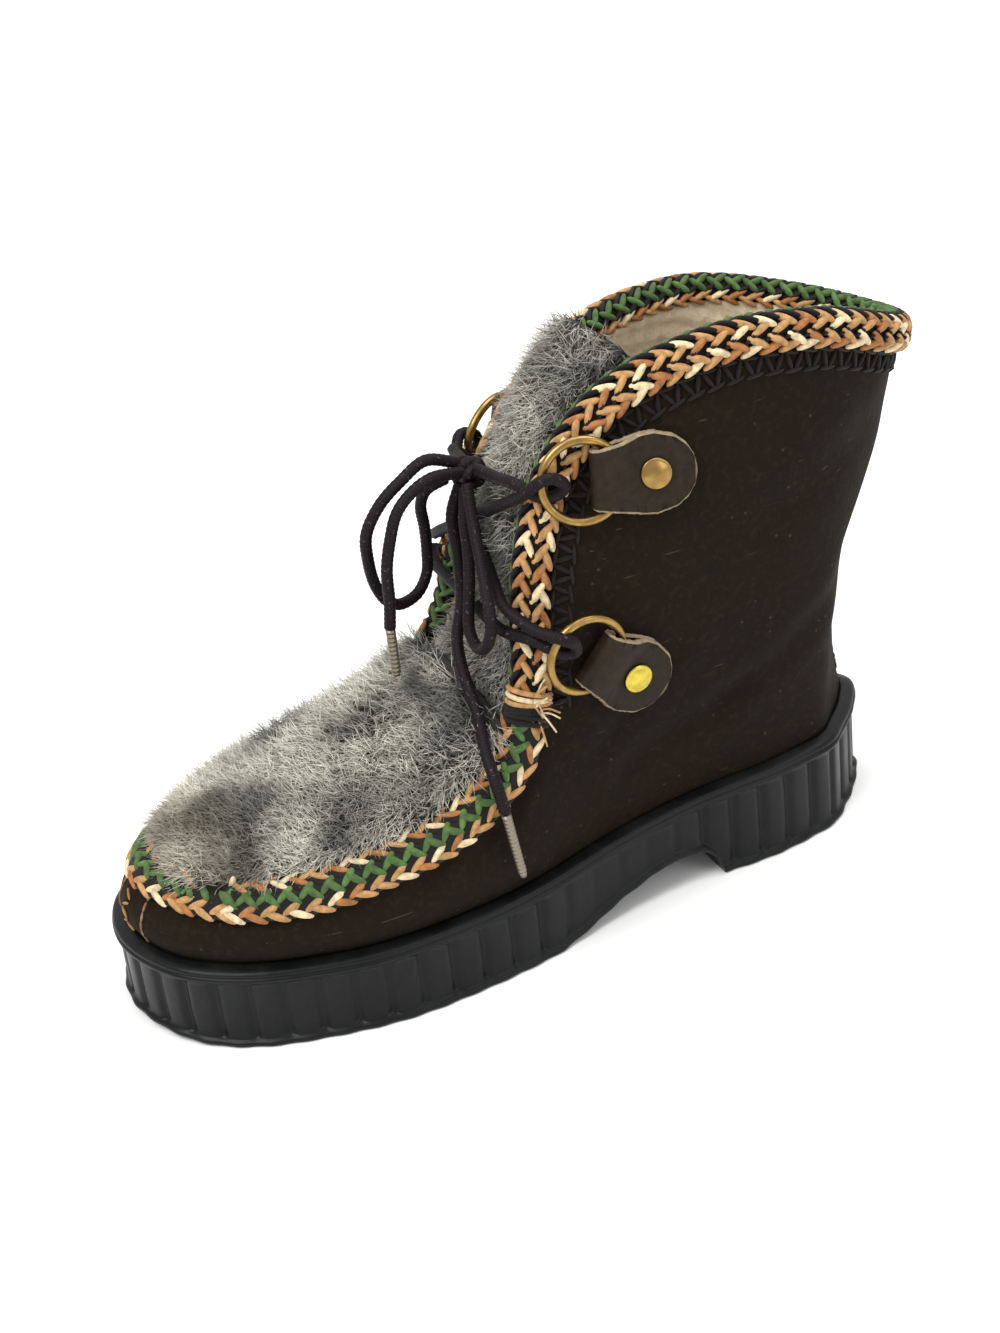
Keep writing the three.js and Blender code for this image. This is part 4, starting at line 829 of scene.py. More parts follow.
def hairs(roots, ways, normals, lengths, draw):
    """Closed three-sided tapered hairs: a ring at the root, a ring half way and a point at the tip. The lower
    half leans by its way, the upper half bends on towards it and down to the hide."""
    count = len(roots)
    side = unit(np.cross(ways, normals))
    front = np.cross(side, ways)
    spin = draw.uniform(0, 2 * np.pi, (count, 1, 1)) + np.arange(3)[None, :, None] * 2 * np.pi / 3
    ring = np.cos(spin) * side[:, None] + np.sin(spin) * front[:, None]
    half = roots + ways * lengths[:, None] * 0.5
    bend = unit(ways * 0.85 - normals * 0.33 + draw.normal(0, 0.22, (count, 3)))
    tip = half + bend * lengths[:, None] * 0.52
    points = np.concatenate([roots[:, None] + ring * HAIR_RADIUS,
                             half[:, None] + ring * HAIR_RADIUS * 0.8, tip[:, None]], axis=1)
    quads = np.array([[0, 1, 4, 3], [1, 2, 5, 4], [2, 0, 3, 5]])
    tris = np.array([[3, 4, 6], [4, 5, 6], [5, 3, 6], [2, 1, 0]])
    strand = draw.uniform(0, 1, count)
    uv = np.stack([np.repeat(strand, 7), np.tile([0, 0, 0, 0.5, 0.5, 0.5, 1.0], count)], axis=1)
    return points.reshape(-1, 3), repeated(count, 7, quads, tris), uv


def scattered(surface, fade, low, high, count, draw):
    """Places on a hide, as dense as its area and fade: cells of a fine grid are drawn by weight."""
    section = np.linspace(low, high, HIDE_ROWS)
    across = np.linspace(0.0, 1.0, 80)
    s, a = np.meshgrid(section, across, indexing="ij")
    grid = surface(s, a)
    area = np.linalg.norm(np.cross(np.gradient(grid, axis=0), np.gradient(grid, axis=1)), axis=-1)
    weight = (area * (fade(s, a) > 0.02)).ravel()
    cell = draw.choice(len(weight), count, p=weight / weight.sum())
    s = s.ravel()[cell] + draw.uniform(-0.5, 0.5, count) * (section[1] - section[0])
    a = a.ravel()[cell] + draw.uniform(-0.5, 0.5, count) * (across[1] - across[0])
    return np.clip(s, low, high), np.clip(a, 0.01, 0.99)


def fur_coat(surface, fade, low, high, count, length, seed):
    """Hairs over a hide. Each leans down the shoe, with a swirl that changes slowly over the surface so that
    neighbours clump into locks."""
    draw = np.random.default_rng(seed)
    s, a = scattered(surface, fade, low, high, count, draw)
    root = surface(s, a)
    up = hide_normal(surface, s, a)
    down = unit(surface(np.maximum(s - 0.05, FIRST_SECTION), a) - surface(s + 0.02, a))
    side = np.cross(up, down)
    swirl = lumps(root, 0.02, 2, seed + 1)
    stand = 0.75 + 0.25 * lumps(root, 0.01, 2, seed + 2) + 0.2 * draw.normal(size=count)
    way = unit(down * (0.6 + 0.45 * draw.normal(size=count))[:, None]
               + side * (0.8 * swirl + 0.55 * draw.normal(size=count))[:, None]
               + up * np.maximum(stand, 0.3)[:, None])
    size = length * (0.55 + 0.45 * fade(s, a)) * draw.uniform(0.7, 1.15, count)
    return hairs(root - up * HAIR_SUNK, way, up, size, draw)


# Guard hairs: keratin, dark grey at the root, grey along the shaft and whitish at the tip, some all dark
# and some all pale, in light and dark patches; the toe has a yellow-brown cast
fur_finish = new_material("grey_guard_hair", Roughness=0.45, IOR=1.55, Specular_IOR_Level=0.25)
place = in_object(fur_finish)
hair = add_node(fur_finish, "ShaderNodeSeparateXYZ", {0: in_uv(fur_finish)}).outputs
shaft = mixed(fur_finish, spread(fur_finish, hair["Y"], 0.05, 0.55), "#121210", "#86847a")
tipped = mixed(fur_finish, spread(fur_finish, hair["Y"], 0.45, 1), shaft, "#e9e6d8")
patches = spread(fur_finish, noise(fur_finish, place, 45, 4), 0.38, 0.62, 0.32, 1.36)
patched = add_node(fur_finish, "ShaderNodeVectorMath", {
    0: mixed(fur_finish, spread(fur_finish, hair["X"], 0, 0.75), shaft, tipped), 1: patches},
    operation="MULTIPLY").outputs[0]
from_toe = add_node(fur_finish, "ShaderNodeSeparateXYZ", {0: place}).outputs["Y"]
stain = spread(fur_finish, from_toe, -0.182, -0.214, to_high=0.42)
finished(fur_finish, Base_Color=mixed(fur_finish, stain, patched, "#8a7455"))

# Hide under the hair: matted underfur, dark
hide_finish = new_material("matted_underfur", Roughness=0.9)
mats = noise(hide_finish, in_object(hide_finish), 300, 5)
finished(hide_finish, Base_Color=mixed(hide_finish, mats, "#131312", "#454440"),
         Normal=bumped(hide_finish, mats, 1.0, 0.002))


def plate(face, back, rim_way=-1):
    """A closed plate from two grids of points alike, its rim joined by quads: they face outwards, or
    inwards where rim_way is 1."""
    rows, columns = face.shape[:2]
    front = grid_faces(rows, columns)
    last = rows - 1
    ring = np.concatenate([np.arange(columns - 1), columns - 1 + columns * np.arange(last),
                           columns * last + np.arange(columns - 1, 0, -1), columns * np.arange(last, 0, -1)])
    after = np.roll(ring, -1)
    behind = rows * columns
    edge = np.stack([ring, ring + behind, after + behind, after], axis=1)[:, ::rim_way]
    return (np.concatenate([face.reshape(-1, 3), back.reshape(-1, 3)]),
            np.concatenate([front[:, ::-1], front + behind, edge]))


def hide_body(surface, fade, low, high, thick, raise_by):
    """The hide as a closed plate: a face raised by underfur where the fur is full, and a back."""
    s, a = np.meshgrid(np.linspace(low, high, HIDE_ROWS), np.linspace(0, 1, HIDE_COLUMNS), indexing="ij")
    up = hide_normal(surface, s, a)
    face = surface(s, a)
    raised = face + up * (raise_by * fade(s, a) * (1 + 0.4 * lumps(face, 0.008, 3, 3)))[..., None]
    return plate(raised, face - up * thick)


for name, node, surface, fade, low, high, thick, raise_by, coats in (
    ("vamp_hide", "vamp", vamp_at, vamp_fade, VAMP_START, VAMP_END + 0.05, LEATHER, 0.0018, VAMP_COATS),
    ("tongue_hide", "tongue", tongue_at, tongue_fade, TONGUE_START, TONGUE_END, TONGUE_HIDE, 0.0022,
     TONGUE_COATS),
):
    shape, skin = hide_body(surface, fade, low, high, thick, raise_by)
    add_piece(name, shape, skin, hide_finish, "fur", stands_for=node)
    for coat, first, last, count, length, seed in coats:
        shape, skin, uv = fur_coat(surface, fade, first, last, count, length, seed)
        add_piece(coat, shape, skin, fur_finish, "fur", uv)

# The fleece on the tongue's back; its rim is wound inwards, which breaks the light along its edge
s_back, a_back = np.meshgrid(np.linspace(TONGUE_START, 10.42, 100), np.linspace(0.02, 0.98, HIDE_COLUMNS),
                             indexing="ij")
back_out = hide_normal(tongue_at, s_back, a_back)
back_base = tongue_at(s_back, a_back) - back_out * TONGUE_HIDE
curled = 0.75 + 0.25 * lumps(back_base, LUMP, 3, 9)
back_pile = FLEECE_PILE * curled * ramp(np.minimum(a_back, 1 - a_back), 0, 0.08)
shape, skin = plate(back_base + back_out * GAP, back_base - back_out * back_pile[..., None], 1)
add_piece("tongue_fleece", shape, skin, fleece_finish, "felt")


# Braids. Round wool and raffia threads in orange, cream and green are plaited over a black cord: one braid
# folds over the seam between leather and fur, the other saddles the throat and the collar. Where the cord's
# black shows between the narrowed strands, it is also painted shade between the threads.

PLAIT = 0.0062
STRAND_SIDES = 7
# Strands are narrowed to this share of their width, so the black cord shows between them as painted shade
STRAND_FILL = 0.88
GREEN = "#4c6834"
LEAF = "#55783c"
ORANGE = "#a86f3e"
TAN = "#bd905c"
CREAM = "#e6d0a6"
BLACK = "#0d0907"
SEAM_GAP = 2 * GAP
SEAM_HALF = 0.0068
SEAM_STEPS = 150
BRAID_SECTION = 5.62
COLLAR_STEPS = 400
# Saddle section: out of the leather and past its edge, outer leg first
SADDLE = np.array([
    (0.0022, -0.0066), (0.0031, -0.0050), (0.0036, -0.0030), (0.0034, -0.0008), (0.0024, 0.0018),
    (0.0008, 0.0031), (-0.0012, 0.0034), (-0.0032, 0.0030), (-0.0048, 0.0016), (-0.0057, -0.0008),
    (-0.0058, -0.0028), (-0.0048, -0.0048)])
SADDLE_INSIDE = np.array([(-0.0029, -0.0040), (-0.0029, 0.0002), (0.0003, 0.0002), (0.0004, -0.0056)])
BORDER_FROM, BORDER_TO, BORDER_LIFT = 0.006, 0.0145, 0.0007
# Rows of strands: distance across, degrees, shift along, length, width, height, colours
SEAM_ROWS = [
    (-0.0058, 24, 0.0, 0.0082, 0.0031, 0.0028, [ORANGE, CREAM, TAN, TAN, ORANGE, TAN, CREAM, TAN]),
    (-0.0037, -30, 0.25, 0.0078, 0.0030, 0.0028, [TAN, ORANGE, CREAM, TAN, TAN]),
    (-0.0022, -38, 0.7, 0.0062, 0.0017, 0.0020, [BLACK]),
    (-0.0007, 42, 0.15, 0.0070, 0.0029, 0.0028, [GREEN]),
    (0.0013, -42, 0.45, 0.0070, 0.0029, 0.0028, [GREEN, GREEN, LEAF]),
    (0.0029, 38, 0.05, 0.0062, 0.0018, 0.0022, [BLACK]),
    (0.0043, 30, 0.75, 0.0076, 0.0025, 0.0025, [TAN, ORANGE, CREAM, ORANGE]),
    (0.0058, -26, 0.3, 0.0076, 0.0025, 0.0023, [ORANGE, TAN, CREAM])]
COLLAR_ROWS = [
    (0.0016, 28, 0.0, 0.0080, 0.0028, 0.0026, [ORANGE, TAN, CREAM, TAN, ORANGE, CREAM]),
    (0.0037, -30, 0.3, 0.0076, 0.0028, 0.0026, [TAN, CREAM, ORANGE, TAN]),
    (0.0056, 34, 0.1, 0.0064, 0.0018, 0.0020, [BLACK]),
    (0.0074, 30, 0.55, 0.0076, 0.0026, 0.0026, [ORANGE, TAN, CREAM, TAN, TAN]),
    (0.0094, -32, 0.8, 0.0074, 0.0026, 0.0026, [TAN, ORANGE, TAN, CREAM]),
    (0.0113, -38, 0.2, 0.0064, 0.0019, 0.0020, [BLACK]),
    (0.0129, 38, 0.6, 0.0064, 0.0019, 0.0020, [BLACK]),
    (0.0146, 42, 0.45, 0.0066, 0.0025, 0.0026, [GREEN]),
    (0.0165, -42, 0.75, 0.0066, 0.0025, 0.0026, [GREEN, LEAF, GREEN]),
    (0.0183, 36, 0.15, 0.0062, 0.0018, 0.0020, [BLACK]),
    (0.0199, 28, 0.5, 0.0072, 0.0023, 0.0024, [TAN, ORANGE, CREAM]),
    (0.0216, -26, 0.85, 0.0070, 0.0022, 0.0022, [ORANGE, TAN])]
BORDER_ROWS = [
    (0.0016, 8, 0.0, 0.0066, 0.0016, 0.0016, ["#120c08", "#1b120c"]),
    (0.0042, 68, 0.0, 0.0058, 0.0016, 0.0016, ["#150e09", "#0f0a06"]),
    (0.0042, -68, 0.5, 0.0058, 0.0016, 0.0016, ["#120c08"]),
    (0.0070, -10, 0.25, 0.0060, 0.0014, 0.0015, ["#170f0a", "#120c08"])]


def strands(centre, way, out, length, width, height, codes):
    """Spindle-shaped strands: seven stations along the way, half width (1 - t2) ** 0.45, an ellipse of
    points at each, closed by a point at both ends. codes: one hex colour per strand."""
    count = len(centre)
    side = unit(np.cross(out, way))
    t = np.array([-0.93, -0.72, -0.4, 0.0, 0.4, 0.72, 0.93])
    full = (1 - t ** 2) ** 0.45 / 2
    angle = np.linspace(0, 2 * np.pi, STRAND_SIDES, endpoint=False)
    wide = width * full[:, None] * np.cos(angle)
    high = height * full[:, None] * np.sin(angle)
    rings = (centre[:, None, None] + way[:, None, None] * (length / 2 * t)[:, None, None]
             + side[:, None, None] * wide[..., None] + out[:, None, None] * high[..., None])
    ends = centre[:, None] + way[:, None] * (length / 2 * np.array([-1, 1]))[:, None]
    points = np.concatenate([rings.reshape(count, -1, 3), ends], axis=1)
    per = points.shape[1]
    ring = np.arange(STRAND_SIDES)
    after = (ring + 1) % STRAND_SIDES
    last = (len(t) - 1) * STRAND_SIDES
    tris = np.concatenate([np.stack([np.full(STRAND_SIDES, per - 2), after, ring], axis=1),
                           np.stack([np.full(STRAND_SIDES, per - 1), last + ring, last + after], axis=1)])
    dye = np.repeat([colour(code)[:3] for code in codes], per, axis=0)
    along = np.concatenate([np.repeat(t, STRAND_SIDES), [-1, 1]]) * length * 500
    round_share = np.concatenate([np.tile(angle, len(t)), [0, 0]]) / (2 * np.pi)
    uv = np.tile(np.column_stack([along, round_share]), (count, 1))
    quads = grid_faces(len(t), STRAND_SIDES, round_columns=True)
    return points.reshape(-1, 3), repeated(count, per, quads, tris), uv, dye


# Dyed wool yarn: fibrous and matt, each strand a little uneven in colour
def dyed_shade(material, shade):
    """The dye attribute times a shade."""
    dye = add_node(material, "ShaderNodeAttribute", attribute_name="dye").outputs["Color"]
    return add_node(material, "ShaderNodeVectorMath", {0: dye, 1: shade}, operation="MULTIPLY").outputs[0]


yarn_finish = new_material("dyed_wool_yarn", Roughness=0.72, Sheen_Weight=0.05, Sheen_Roughness=0.5,
                           Specular_IOR_Level=0.25)
uneven = spread(yarn_finish, noise(yarn_finish, in_object(yarn_finish), 500, 3), 0.3, 0.7, 0.55, 1.08)
twisted = add_node(yarn_finish, "ShaderNodeMapping", {
    "Vector": in_uv(yarn_finish), "Scale": (1.6, 6.0, 1.0), "Rotation": (0.0, 0.0, 0.5)})
ply = wave(yarn_finish, twisted.outputs[0], 0.7, 1)
finished(yarn_finish, Base_Color=dyed_shade(yarn_finish, uneven),
         Normal=bumped(yarn_finish, ply, 0.45, 0.0003))


def band_body(sections):
    """Rows of section points carried along, closed at both ends by a fan from the first point."""
    count, columns = sections.shape[:2]
    ends = np.arange(1, columns - 1)
    fan = np.stack([np.zeros(columns - 2, int), ends, ends + 1], axis=1)
    last = (count - 1) * columns
    return sections.reshape(-1, 3), [grid_faces(count, columns, round_columns=True),
                                     np.concatenate([fan[:, ::-1], fan + last])]


class Band:
    """A braid's face: places and normals by distance along and across it, read from a fine grid.
    outward: normals on whose side its own are to lie."""

    def __init__(self, lines, across, outward=None):
        self.run = run_of(lines[:, len(across) // 2])
        self.length = self.run[-1]
        self.across = across
        self.lines = lines
        self.on = unit(np.gradient(lines, axis=0))
        self.over = unit(np.gradient(lines, axis=1))
        self.out = unit(np.cross(self.on, self.over))
        if outward is not None and np.mean(np.sum(self.out[:, 0] * outward, axis=1)) < 0:
            self.out = -self.out

    def read(self, grid, s, q):
        row = np.interp(s, self.run, np.arange(len(self.run)))
        column = np.interp(q, self.across, np.arange(len(self.across)))
        r = np.minimum(row.astype(int), len(self.run) - 2)
        c = np.minimum(column.astype(int), len(self.across) - 2)
        u, v = (row - r)[:, None], (column - c)[:, None]
        return ((grid[r, c] * (1 - u) + grid[r + 1, c] * u) * (1 - v)
                + (grid[r, c + 1] * (1 - u) + grid[r + 1, c + 1] * u) * v)

    def strand_row(self, q, degrees, shift, length, width, height, codes):
        """One strand in each period, at distance q across, turned by an angle from the way along."""
        count = int(self.length / PLAIT)
        s = (np.arange(count) + 0.5 + shift) * (self.length / count)
        s = s[(s > 0.001) & (s < self.length - 0.001)]
        across = np.full(len(s), q)
        on, over, out = (unit(self.read(grid, s, across)) for grid in (self.on, self.over, self.out))
        angle = math.radians(degrees)
        way = unit(on * math.cos(angle) + over * math.sin(angle))
        return strands(self.read(self.lines, s, across), way, out, length, STRAND_FILL * width, height,
                       [codes[k % len(codes)] for k in range(len(s))])


def dyed(parts):
    """Several sets of strands in one."""
    shape, skin, uv = joined([part[:3] for part in parts])
    return shape, skin, uv, np.concatenate([part[3] for part in parts])


def one_dye(code, points):
    return np.broadcast_to(colour(code)[:3], (len(points), 3))


def add_plait(name, band, rows, node=None):
    shape, skin, uv, dye = dyed([band.strand_row(*row) for row in rows])
    add_piece(name, shape, skin, yarn_finish, "braid", uv, dye, stands_for=node)


def add_ground_and_gap_shade(name, sections):
    """The black cord that the strands lie on. Where its black shows between the narrowed strands, it is
    also painted shade between the threads.
    """
    shape, skin = band_body(sections)
    add_piece(name, shape, skin, yarn_finish, "braid", np.zeros((len(shape), 2)), one_dye(BLACK, shape))


# The vamp braid runs from the lateral throat round the toe to the medial throat
half_way = np.linspace(0, BRAID_SECTION, SEAM_STEPS)
vamp_sections = np.concatenate([half_way[::-1], half_way[1:]])
vamp_sides = np.concatenate([np.ones(SEAM_STEPS), -np.ones(SEAM_STEPS - 1)])
at, along, normal, past = edge_frame(vamp_sections, vamp_sides)
margin = np.where(vamp_sides > 0, 0, 1)
inward = unit(vamp_at(vamp_sections, margin + 0.06 * vamp_sides) - vamp_at(vamp_sections, margin))
toe_blend = ramp(0.9 - vamp_sections, 0.0, 0.6)[:, None]
inward = inward * (1 - toe_blend) + unit(np.array([0, 1, 0.25])) * toe_blend
inward = unit(inward - along * np.sum(inward * along, axis=1, keepdims=True))
above = unit(np.cross(along, inward))
above *= np.sign(np.sum(above * past, axis=1, keepdims=True))


def seam_line(q, lift):
    """Places at distance q across the folded braid: down the leather where q is below 0, in over the fur
    where it is above, lifted along a normal that turns from one side's to the other's over the fold."""
    turn_share = ramp(q, -0.0035, 0.0035)
    up = unit(normal * (1 - turn_share) + above * turn_share)
    soft = math.sqrt(q * q + 0.0012 ** 2) - 0.0012
    side_way = -past if q < 0 else inward
    bulge = 1 + 0.22 * math.exp(-(q / 0.003) ** 2)
    return at + side_way * soft + up * (SEAM_GAP + lift) * bulge


seam_across = np.linspace(-SEAM_HALF, SEAM_HALF, 17)
seam_face = np.stack([seam_line(q, 0.72 * BRAID_THICKNESS * (1 - (q / 0.0085) ** 4)) for q in seam_across],
                     axis=1)
seam_under = np.stack([seam_line(q, 0.0) for q in seam_across[::-1]], axis=1)
seam = Band(seam_face, seam_across)


add_plait("vamp_braid_plait", seam, SEAM_ROWS, "vamp_braid")
# The black cord under the vamp plait; between its strands its black is also painted shade
add_ground_and_gap_shade("vamp_braid_ground_and_gap_shade", np.concatenate([seam_face - seam.out * 0.0006, seam_under], axis=1))

# The collar braid runs from the lateral throat up, round the collar and down the medial throat, folded
# over the edge: two chains outside and on top, then a green chevron and a chain inside
joint = BRAID_SECTION / (2 * LAST)
at, along, normal, past = edge_at(np.linspace(joint, 1 - joint, COLLAR_STEPS))


def over_edge(section):
    """Section points, out and past the edge, carried along the collar."""
    return at[:, None] + normal[:, None] * section[None, :, :1] + past[:, None] * section[None, :, 1:2]


saddle = spaced(curve_through(np.column_stack([SADDLE, np.zeros(len(SADDLE))])), 0.0008)[:, :2]
core = saddle * 0.78 - (0.0003, 0.0002)
collar = Band(over_edge(saddle), np.arange(len(saddle)) * np.linalg.norm(saddle[1] - saddle[0]), normal)
add_plait("collar_braid_plait", collar, COLLAR_ROWS, "collar_braid")
# The black cord under the collar plait; between its strands its black is also painted shade
add_ground_and_gap_shade("collar_braid_ground_and_gap_shade", over_edge(np.concatenate([core, SADDLE_INSIDE])))

# Crochet border: a row of dark brown stitches on the leather under the collar braid
border_across = np.linspace(BORDER_FROM, BORDER_TO, 9)
border_lines = over_edge(np.column_stack([np.full(9, BORDER_LIFT), -border_across]))
add_plait("collar_border", Band(border_lines, border_across - BORDER_FROM, normal), BORDER_ROWS)


# Tabs, rings and rivets. Each tab is a strip of thick leather folded through a cast brass ring and held
# to the upper by one rivet; the cut edges are pale and fibrous. Rings and rivets are antiqued brass.

MOUNTS = ("upper_lateral", "lower_lateral", "upper_medial", "lower_medial")
RING_OUTER = 0.026
RING_WIRE = 0.0026
RING_RADIUS = (RING_OUTER - RING_WIRE) / 2
RING_STEPS = 96
WIRE_SIDES = 18
CAP_SIDES = 72
TAB_LEATHER = 0.0019
TAB_STACK = 2 * TAB_LEATHER + GAP
TAB_HEIGHT = TAB_STACK + GAP + RING_WIRE
TAB_EDGE = 0.0007
FRAYED = 0.00009
RIVET_TO_RING = 0.021
CAP_HEIGHT = 0.0015
# Half width of the tab by distance from the rivet towards the fold
TAB_PLAN = np.array([(-0.0119, 0.0015), (-0.0112, 0.0045), (-0.0095, 0.0075), (-0.006, 0.0104),
                     (0, 0.0120), (0.004, 0.0117), (0.010, 0.0101), (0.0185, 0.0085)])
# Middle line of the folded strip: distance from the rivet, height above the leather
TAB_LINE = np.array([
    (-0.0119, 0.0010), (-0.009, 0.0010), (0.0, 0.0010), (0.009, 0.0010), (0.0160, 0.0011),
    (0.0174, 0.0018), (0.0176, 0.0035), (0.0174, 0.0052), (0.0160, 0.0060), (0.0100, 0.0056),
    (0.0048, 0.0032), (0.001, 0.0029), (-0.009, 0.0029), (-0.0119, 0.0029)])
# Rivet from its foot up, over the cap's rim to its crown: radius, height, and whether from the tab's top
RIVET_PROFILE = np.array([
    (0, -0.0036, 0), (0.0034, -0.0036, 0), (0.0036, -0.0030, 0), (0.0020, -0.0028, 0), (0.0020, 0, 1),
    (0.0041, 0, 1), (0.0045, 0.0002, 1), (0.0045, 0.0005, 1), (0.0042, 0.0008, 1), (0.0038, 0.0007, 1),
    (0.0034, 0.0009, 1), (0.0022, 0.0013, 1), (0.0010, CAP_HEIGHT, 1), (0.0001, 0.00152, 1)])


def aged_brass(name, scale, detail, dark, light, **shader):
    """Brass with darker and lighter spots, and the spots themselves."""
    material = new_material(name, Metallic=1.0, **shader)
    spots = noise(material, in_object(material), scale, detail)
    finished(material, Base_Color=mixed(material, spots, dark, light))
    return material, spots


brass_finish, age = aged_brass("antique_brass", 260, 5, "#5a431d", "#b8975a")
finished(brass_finish, Roughness=spread(brass_finish, age, 0.3, 0.7, 0.42, 0.24))
bright_finish = aged_brass("bright_brass", 420, 6, "#8a7a22", "#e6d25a", Roughness=0.3)[0]

# Tab leather: dark grey-brown face, pale ragged cut edge read from the dye attribute
tab_finish = new_material("waxed_tab_leather", Specular_IOR_Level=0.15, Roughness=0.6)
grain = noise(tab_finish, in_object(tab_finish), 380, 6, 0.7)
finished(tab_finish, Base_Color=dyed_shade(tab_finish, spread(tab_finish, grain, 0.3, 0.7, 0.6, 1.35)),
         Normal=bumped(tab_finish, grain, 0.5, 0.0006))


def node_points(name):
    """The vertices of a CAD node as one array."""
    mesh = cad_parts[name].data
    flat = np.empty(len(mesh.vertices) * 3)
    mesh.vertices.foreach_get("co", flat)
    return flat.reshape(-1, 3)


def fitting_frame(mount):
    """Origin under the rivet's cap, the way to the ring, the way across and the way out, read from the
    packed ring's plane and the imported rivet's place."""
    ring, rivet = node_points(f"ring_{mount}"), node_points(f"rivet_{mount}")
    ring_centre, rivet_centre = ring.mean(0), rivet.mean(0)
    out = np.linalg.svd(ring - ring_centre, full_matrices=False)[2][2]
    out = out * np.sign(out[0] * ring_centre[0])
    origin = rivet_centre + out * ((rivet @ out).max() - (TAB_STACK + CAP_HEIGHT) - rivet_centre @ out)
    towards = ring_centre - origin
    towards = unit(towards - out * (towards @ out))
    return origin, towards, np.cross(out, towards), out


line = curve_through(np.column_stack([TAB_LINE[:, 0], np.zeros(len(TAB_LINE)), TAB_LINE[:, 1]]))
strip = spaced(line, 0.0007)
strip_way = unit(np.gradient(strip, axis=0))
strip_up = np.stack([-strip_way[:, 2], np.zeros(len(strip)), strip_way[:, 0]], axis=1)
half_width = np.interp(strip[:, 0], TAB_PLAN[:, 0], TAB_PLAN[:, 1])
# Round the strip's section: share of the half width, rounded edge, share of the half thickness, cut edge
edge_turn = np.linspace(-np.pi / 2, np.pi / 2, 7)
flat = np.linspace(-1, 1, 9)
none, whole = np.zeros(9), np.ones(7)
ring_width = np.concatenate([flat, whole, flat[::-1], -whole])
ring_round = TAB_EDGE * np.concatenate([none, np.cos(edge_turn), none, -np.cos(edge_turn)])
ring_thick = np.concatenate([none - 1, np.sin(edge_turn), none + 1, np.sin(edge_turn[::-1])])
ring_edge = np.concatenate([none, whole, none, whole])
tips = np.zeros((len(strip), 1))
tips[[0, -1]] = 1
pale = np.clip(ring_edge[None] + tips, 0, 1)[..., None]
tab_dye = np.array(colour("#241b11")[:3]) * (1 - pale) + np.array(colour("#857660")[:3]) * pale

angle = np.linspace(0, 2 * np.pi, RING_STEPS, endpoint=False)[:, None]
wire = np.linspace(0, 2 * np.pi, WIRE_SIDES, endpoint=False)[None]
turn = np.linspace(0, 2 * np.pi, CAP_SIDES, endpoint=False)[:, None]
rivet_height = RIVET_PROFILE[:, 1:2] + TAB_STACK * RIVET_PROFILE[:, 2:]
fittings = {}
for mount in MOUNTS:
    origin, towards, across_way, out = fitting_frame(mount)
    draw = np.random.default_rng(len(mount) + ord(mount[0]))
    ragged = FRAYED * draw.normal(size=(len(strip), 1)) * ring_edge[None]
    q = (ring_width[None] * (half_width[:, None] - TAB_EDGE) + ring_round[None]
         + np.sign(ring_width)[None] * ragged)
    local = strip[:, None] + strip_up[:, None] * (ring_thick * TAB_LEATHER / 2)[None, :, None]
    shape, skin = band_body(origin + local[..., :1] * towards + q[..., None] * across_way
                            + local[..., 2:] * out)
    add_piece(f"tab_{mount}_folded", shape, skin, tab_finish, "tab_leather", dye=tab_dye.reshape(-1, 3),
              stands_for=f"tab_{mount}")
    middle = origin + towards * RIVET_TO_RING + out * TAB_HEIGHT / 2
    fittings[mount] = (middle, towards, across_way, out)
    spoke = np.cos(angle)[..., None] * towards + np.sin(angle)[..., None] * across_way
    torus = (middle + spoke * (RING_RADIUS + RING_WIRE / 2 * np.cos(wire))[..., None]
             + (RING_WIRE / 2 * np.sin(wire) + 0 * angle)[..., None] * out)
    add_piece(f"ring_{mount}_cast", torus.reshape(-1, 3),
              grid_faces(RING_STEPS, WIRE_SIDES, round_rows=True, round_columns=True), brass_finish, "brass",
              stands_for=f"ring_{mount}")
    spin = np.cos(turn) * towards + np.sin(turn) * across_way
    lathe = origin + RIVET_PROFILE[:, None, :1] * spin[None] + rivet_height[:, None] * out
    add_piece(f"rivet_{mount}_domed", lathe.reshape(-1, 3),
              grid_faces(len(RIVET_PROFILE), CAP_SIDES, round_columns=True),
              bright_finish if mount.startswith("lower") else brass_finish, "brass",
              stands_for=f"rivet_{mount}")


# Lacing. The same cord crosses in front of the tongue: a bar between the lower rings, a cross from lower
# to upper rings, and two strands from the upper rings to the knot. It goes through each ring.

CLEAR = RING_WIRE / 2 + LACE / 2
REACH = 0.002
FRONT = -0.4


def round_wire(mount, over_shift, under_shift):
    """The turn round a ring's wire: over it, down into the hole and out again from behind it."""
    centre, towards, across_way, out = fittings[mount]
    turn = [(RING_RADIUS, over_shift, CLEAR + 0.0003), (0.0082, over_shift * 0.95, CLEAR - 0.0006),
            (0.0052, (over_shift + under_shift) / 2, 0.0010), (0.0080, under_shift * 0.95, -0.0006),
            (RING_RADIUS, under_shift, -CLEAR * 0.45)]
    return [centre + towards * p + across_way * q + out * r for p, q, r in turn]


crossing_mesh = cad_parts["lace_crossings"].data
crossing_tree = BVHTree.FromPolygons([v.co for v in crossing_mesh.vertices],
                                     [tuple(face.vertices) for face in crossing_mesh.polygons])


def over_ring(mount):
    centre, towards, _, out = fittings[mount]
    return centre + towards * (RING_RADIUS + REACH) + out * (CLEAR + 5 * GAP)


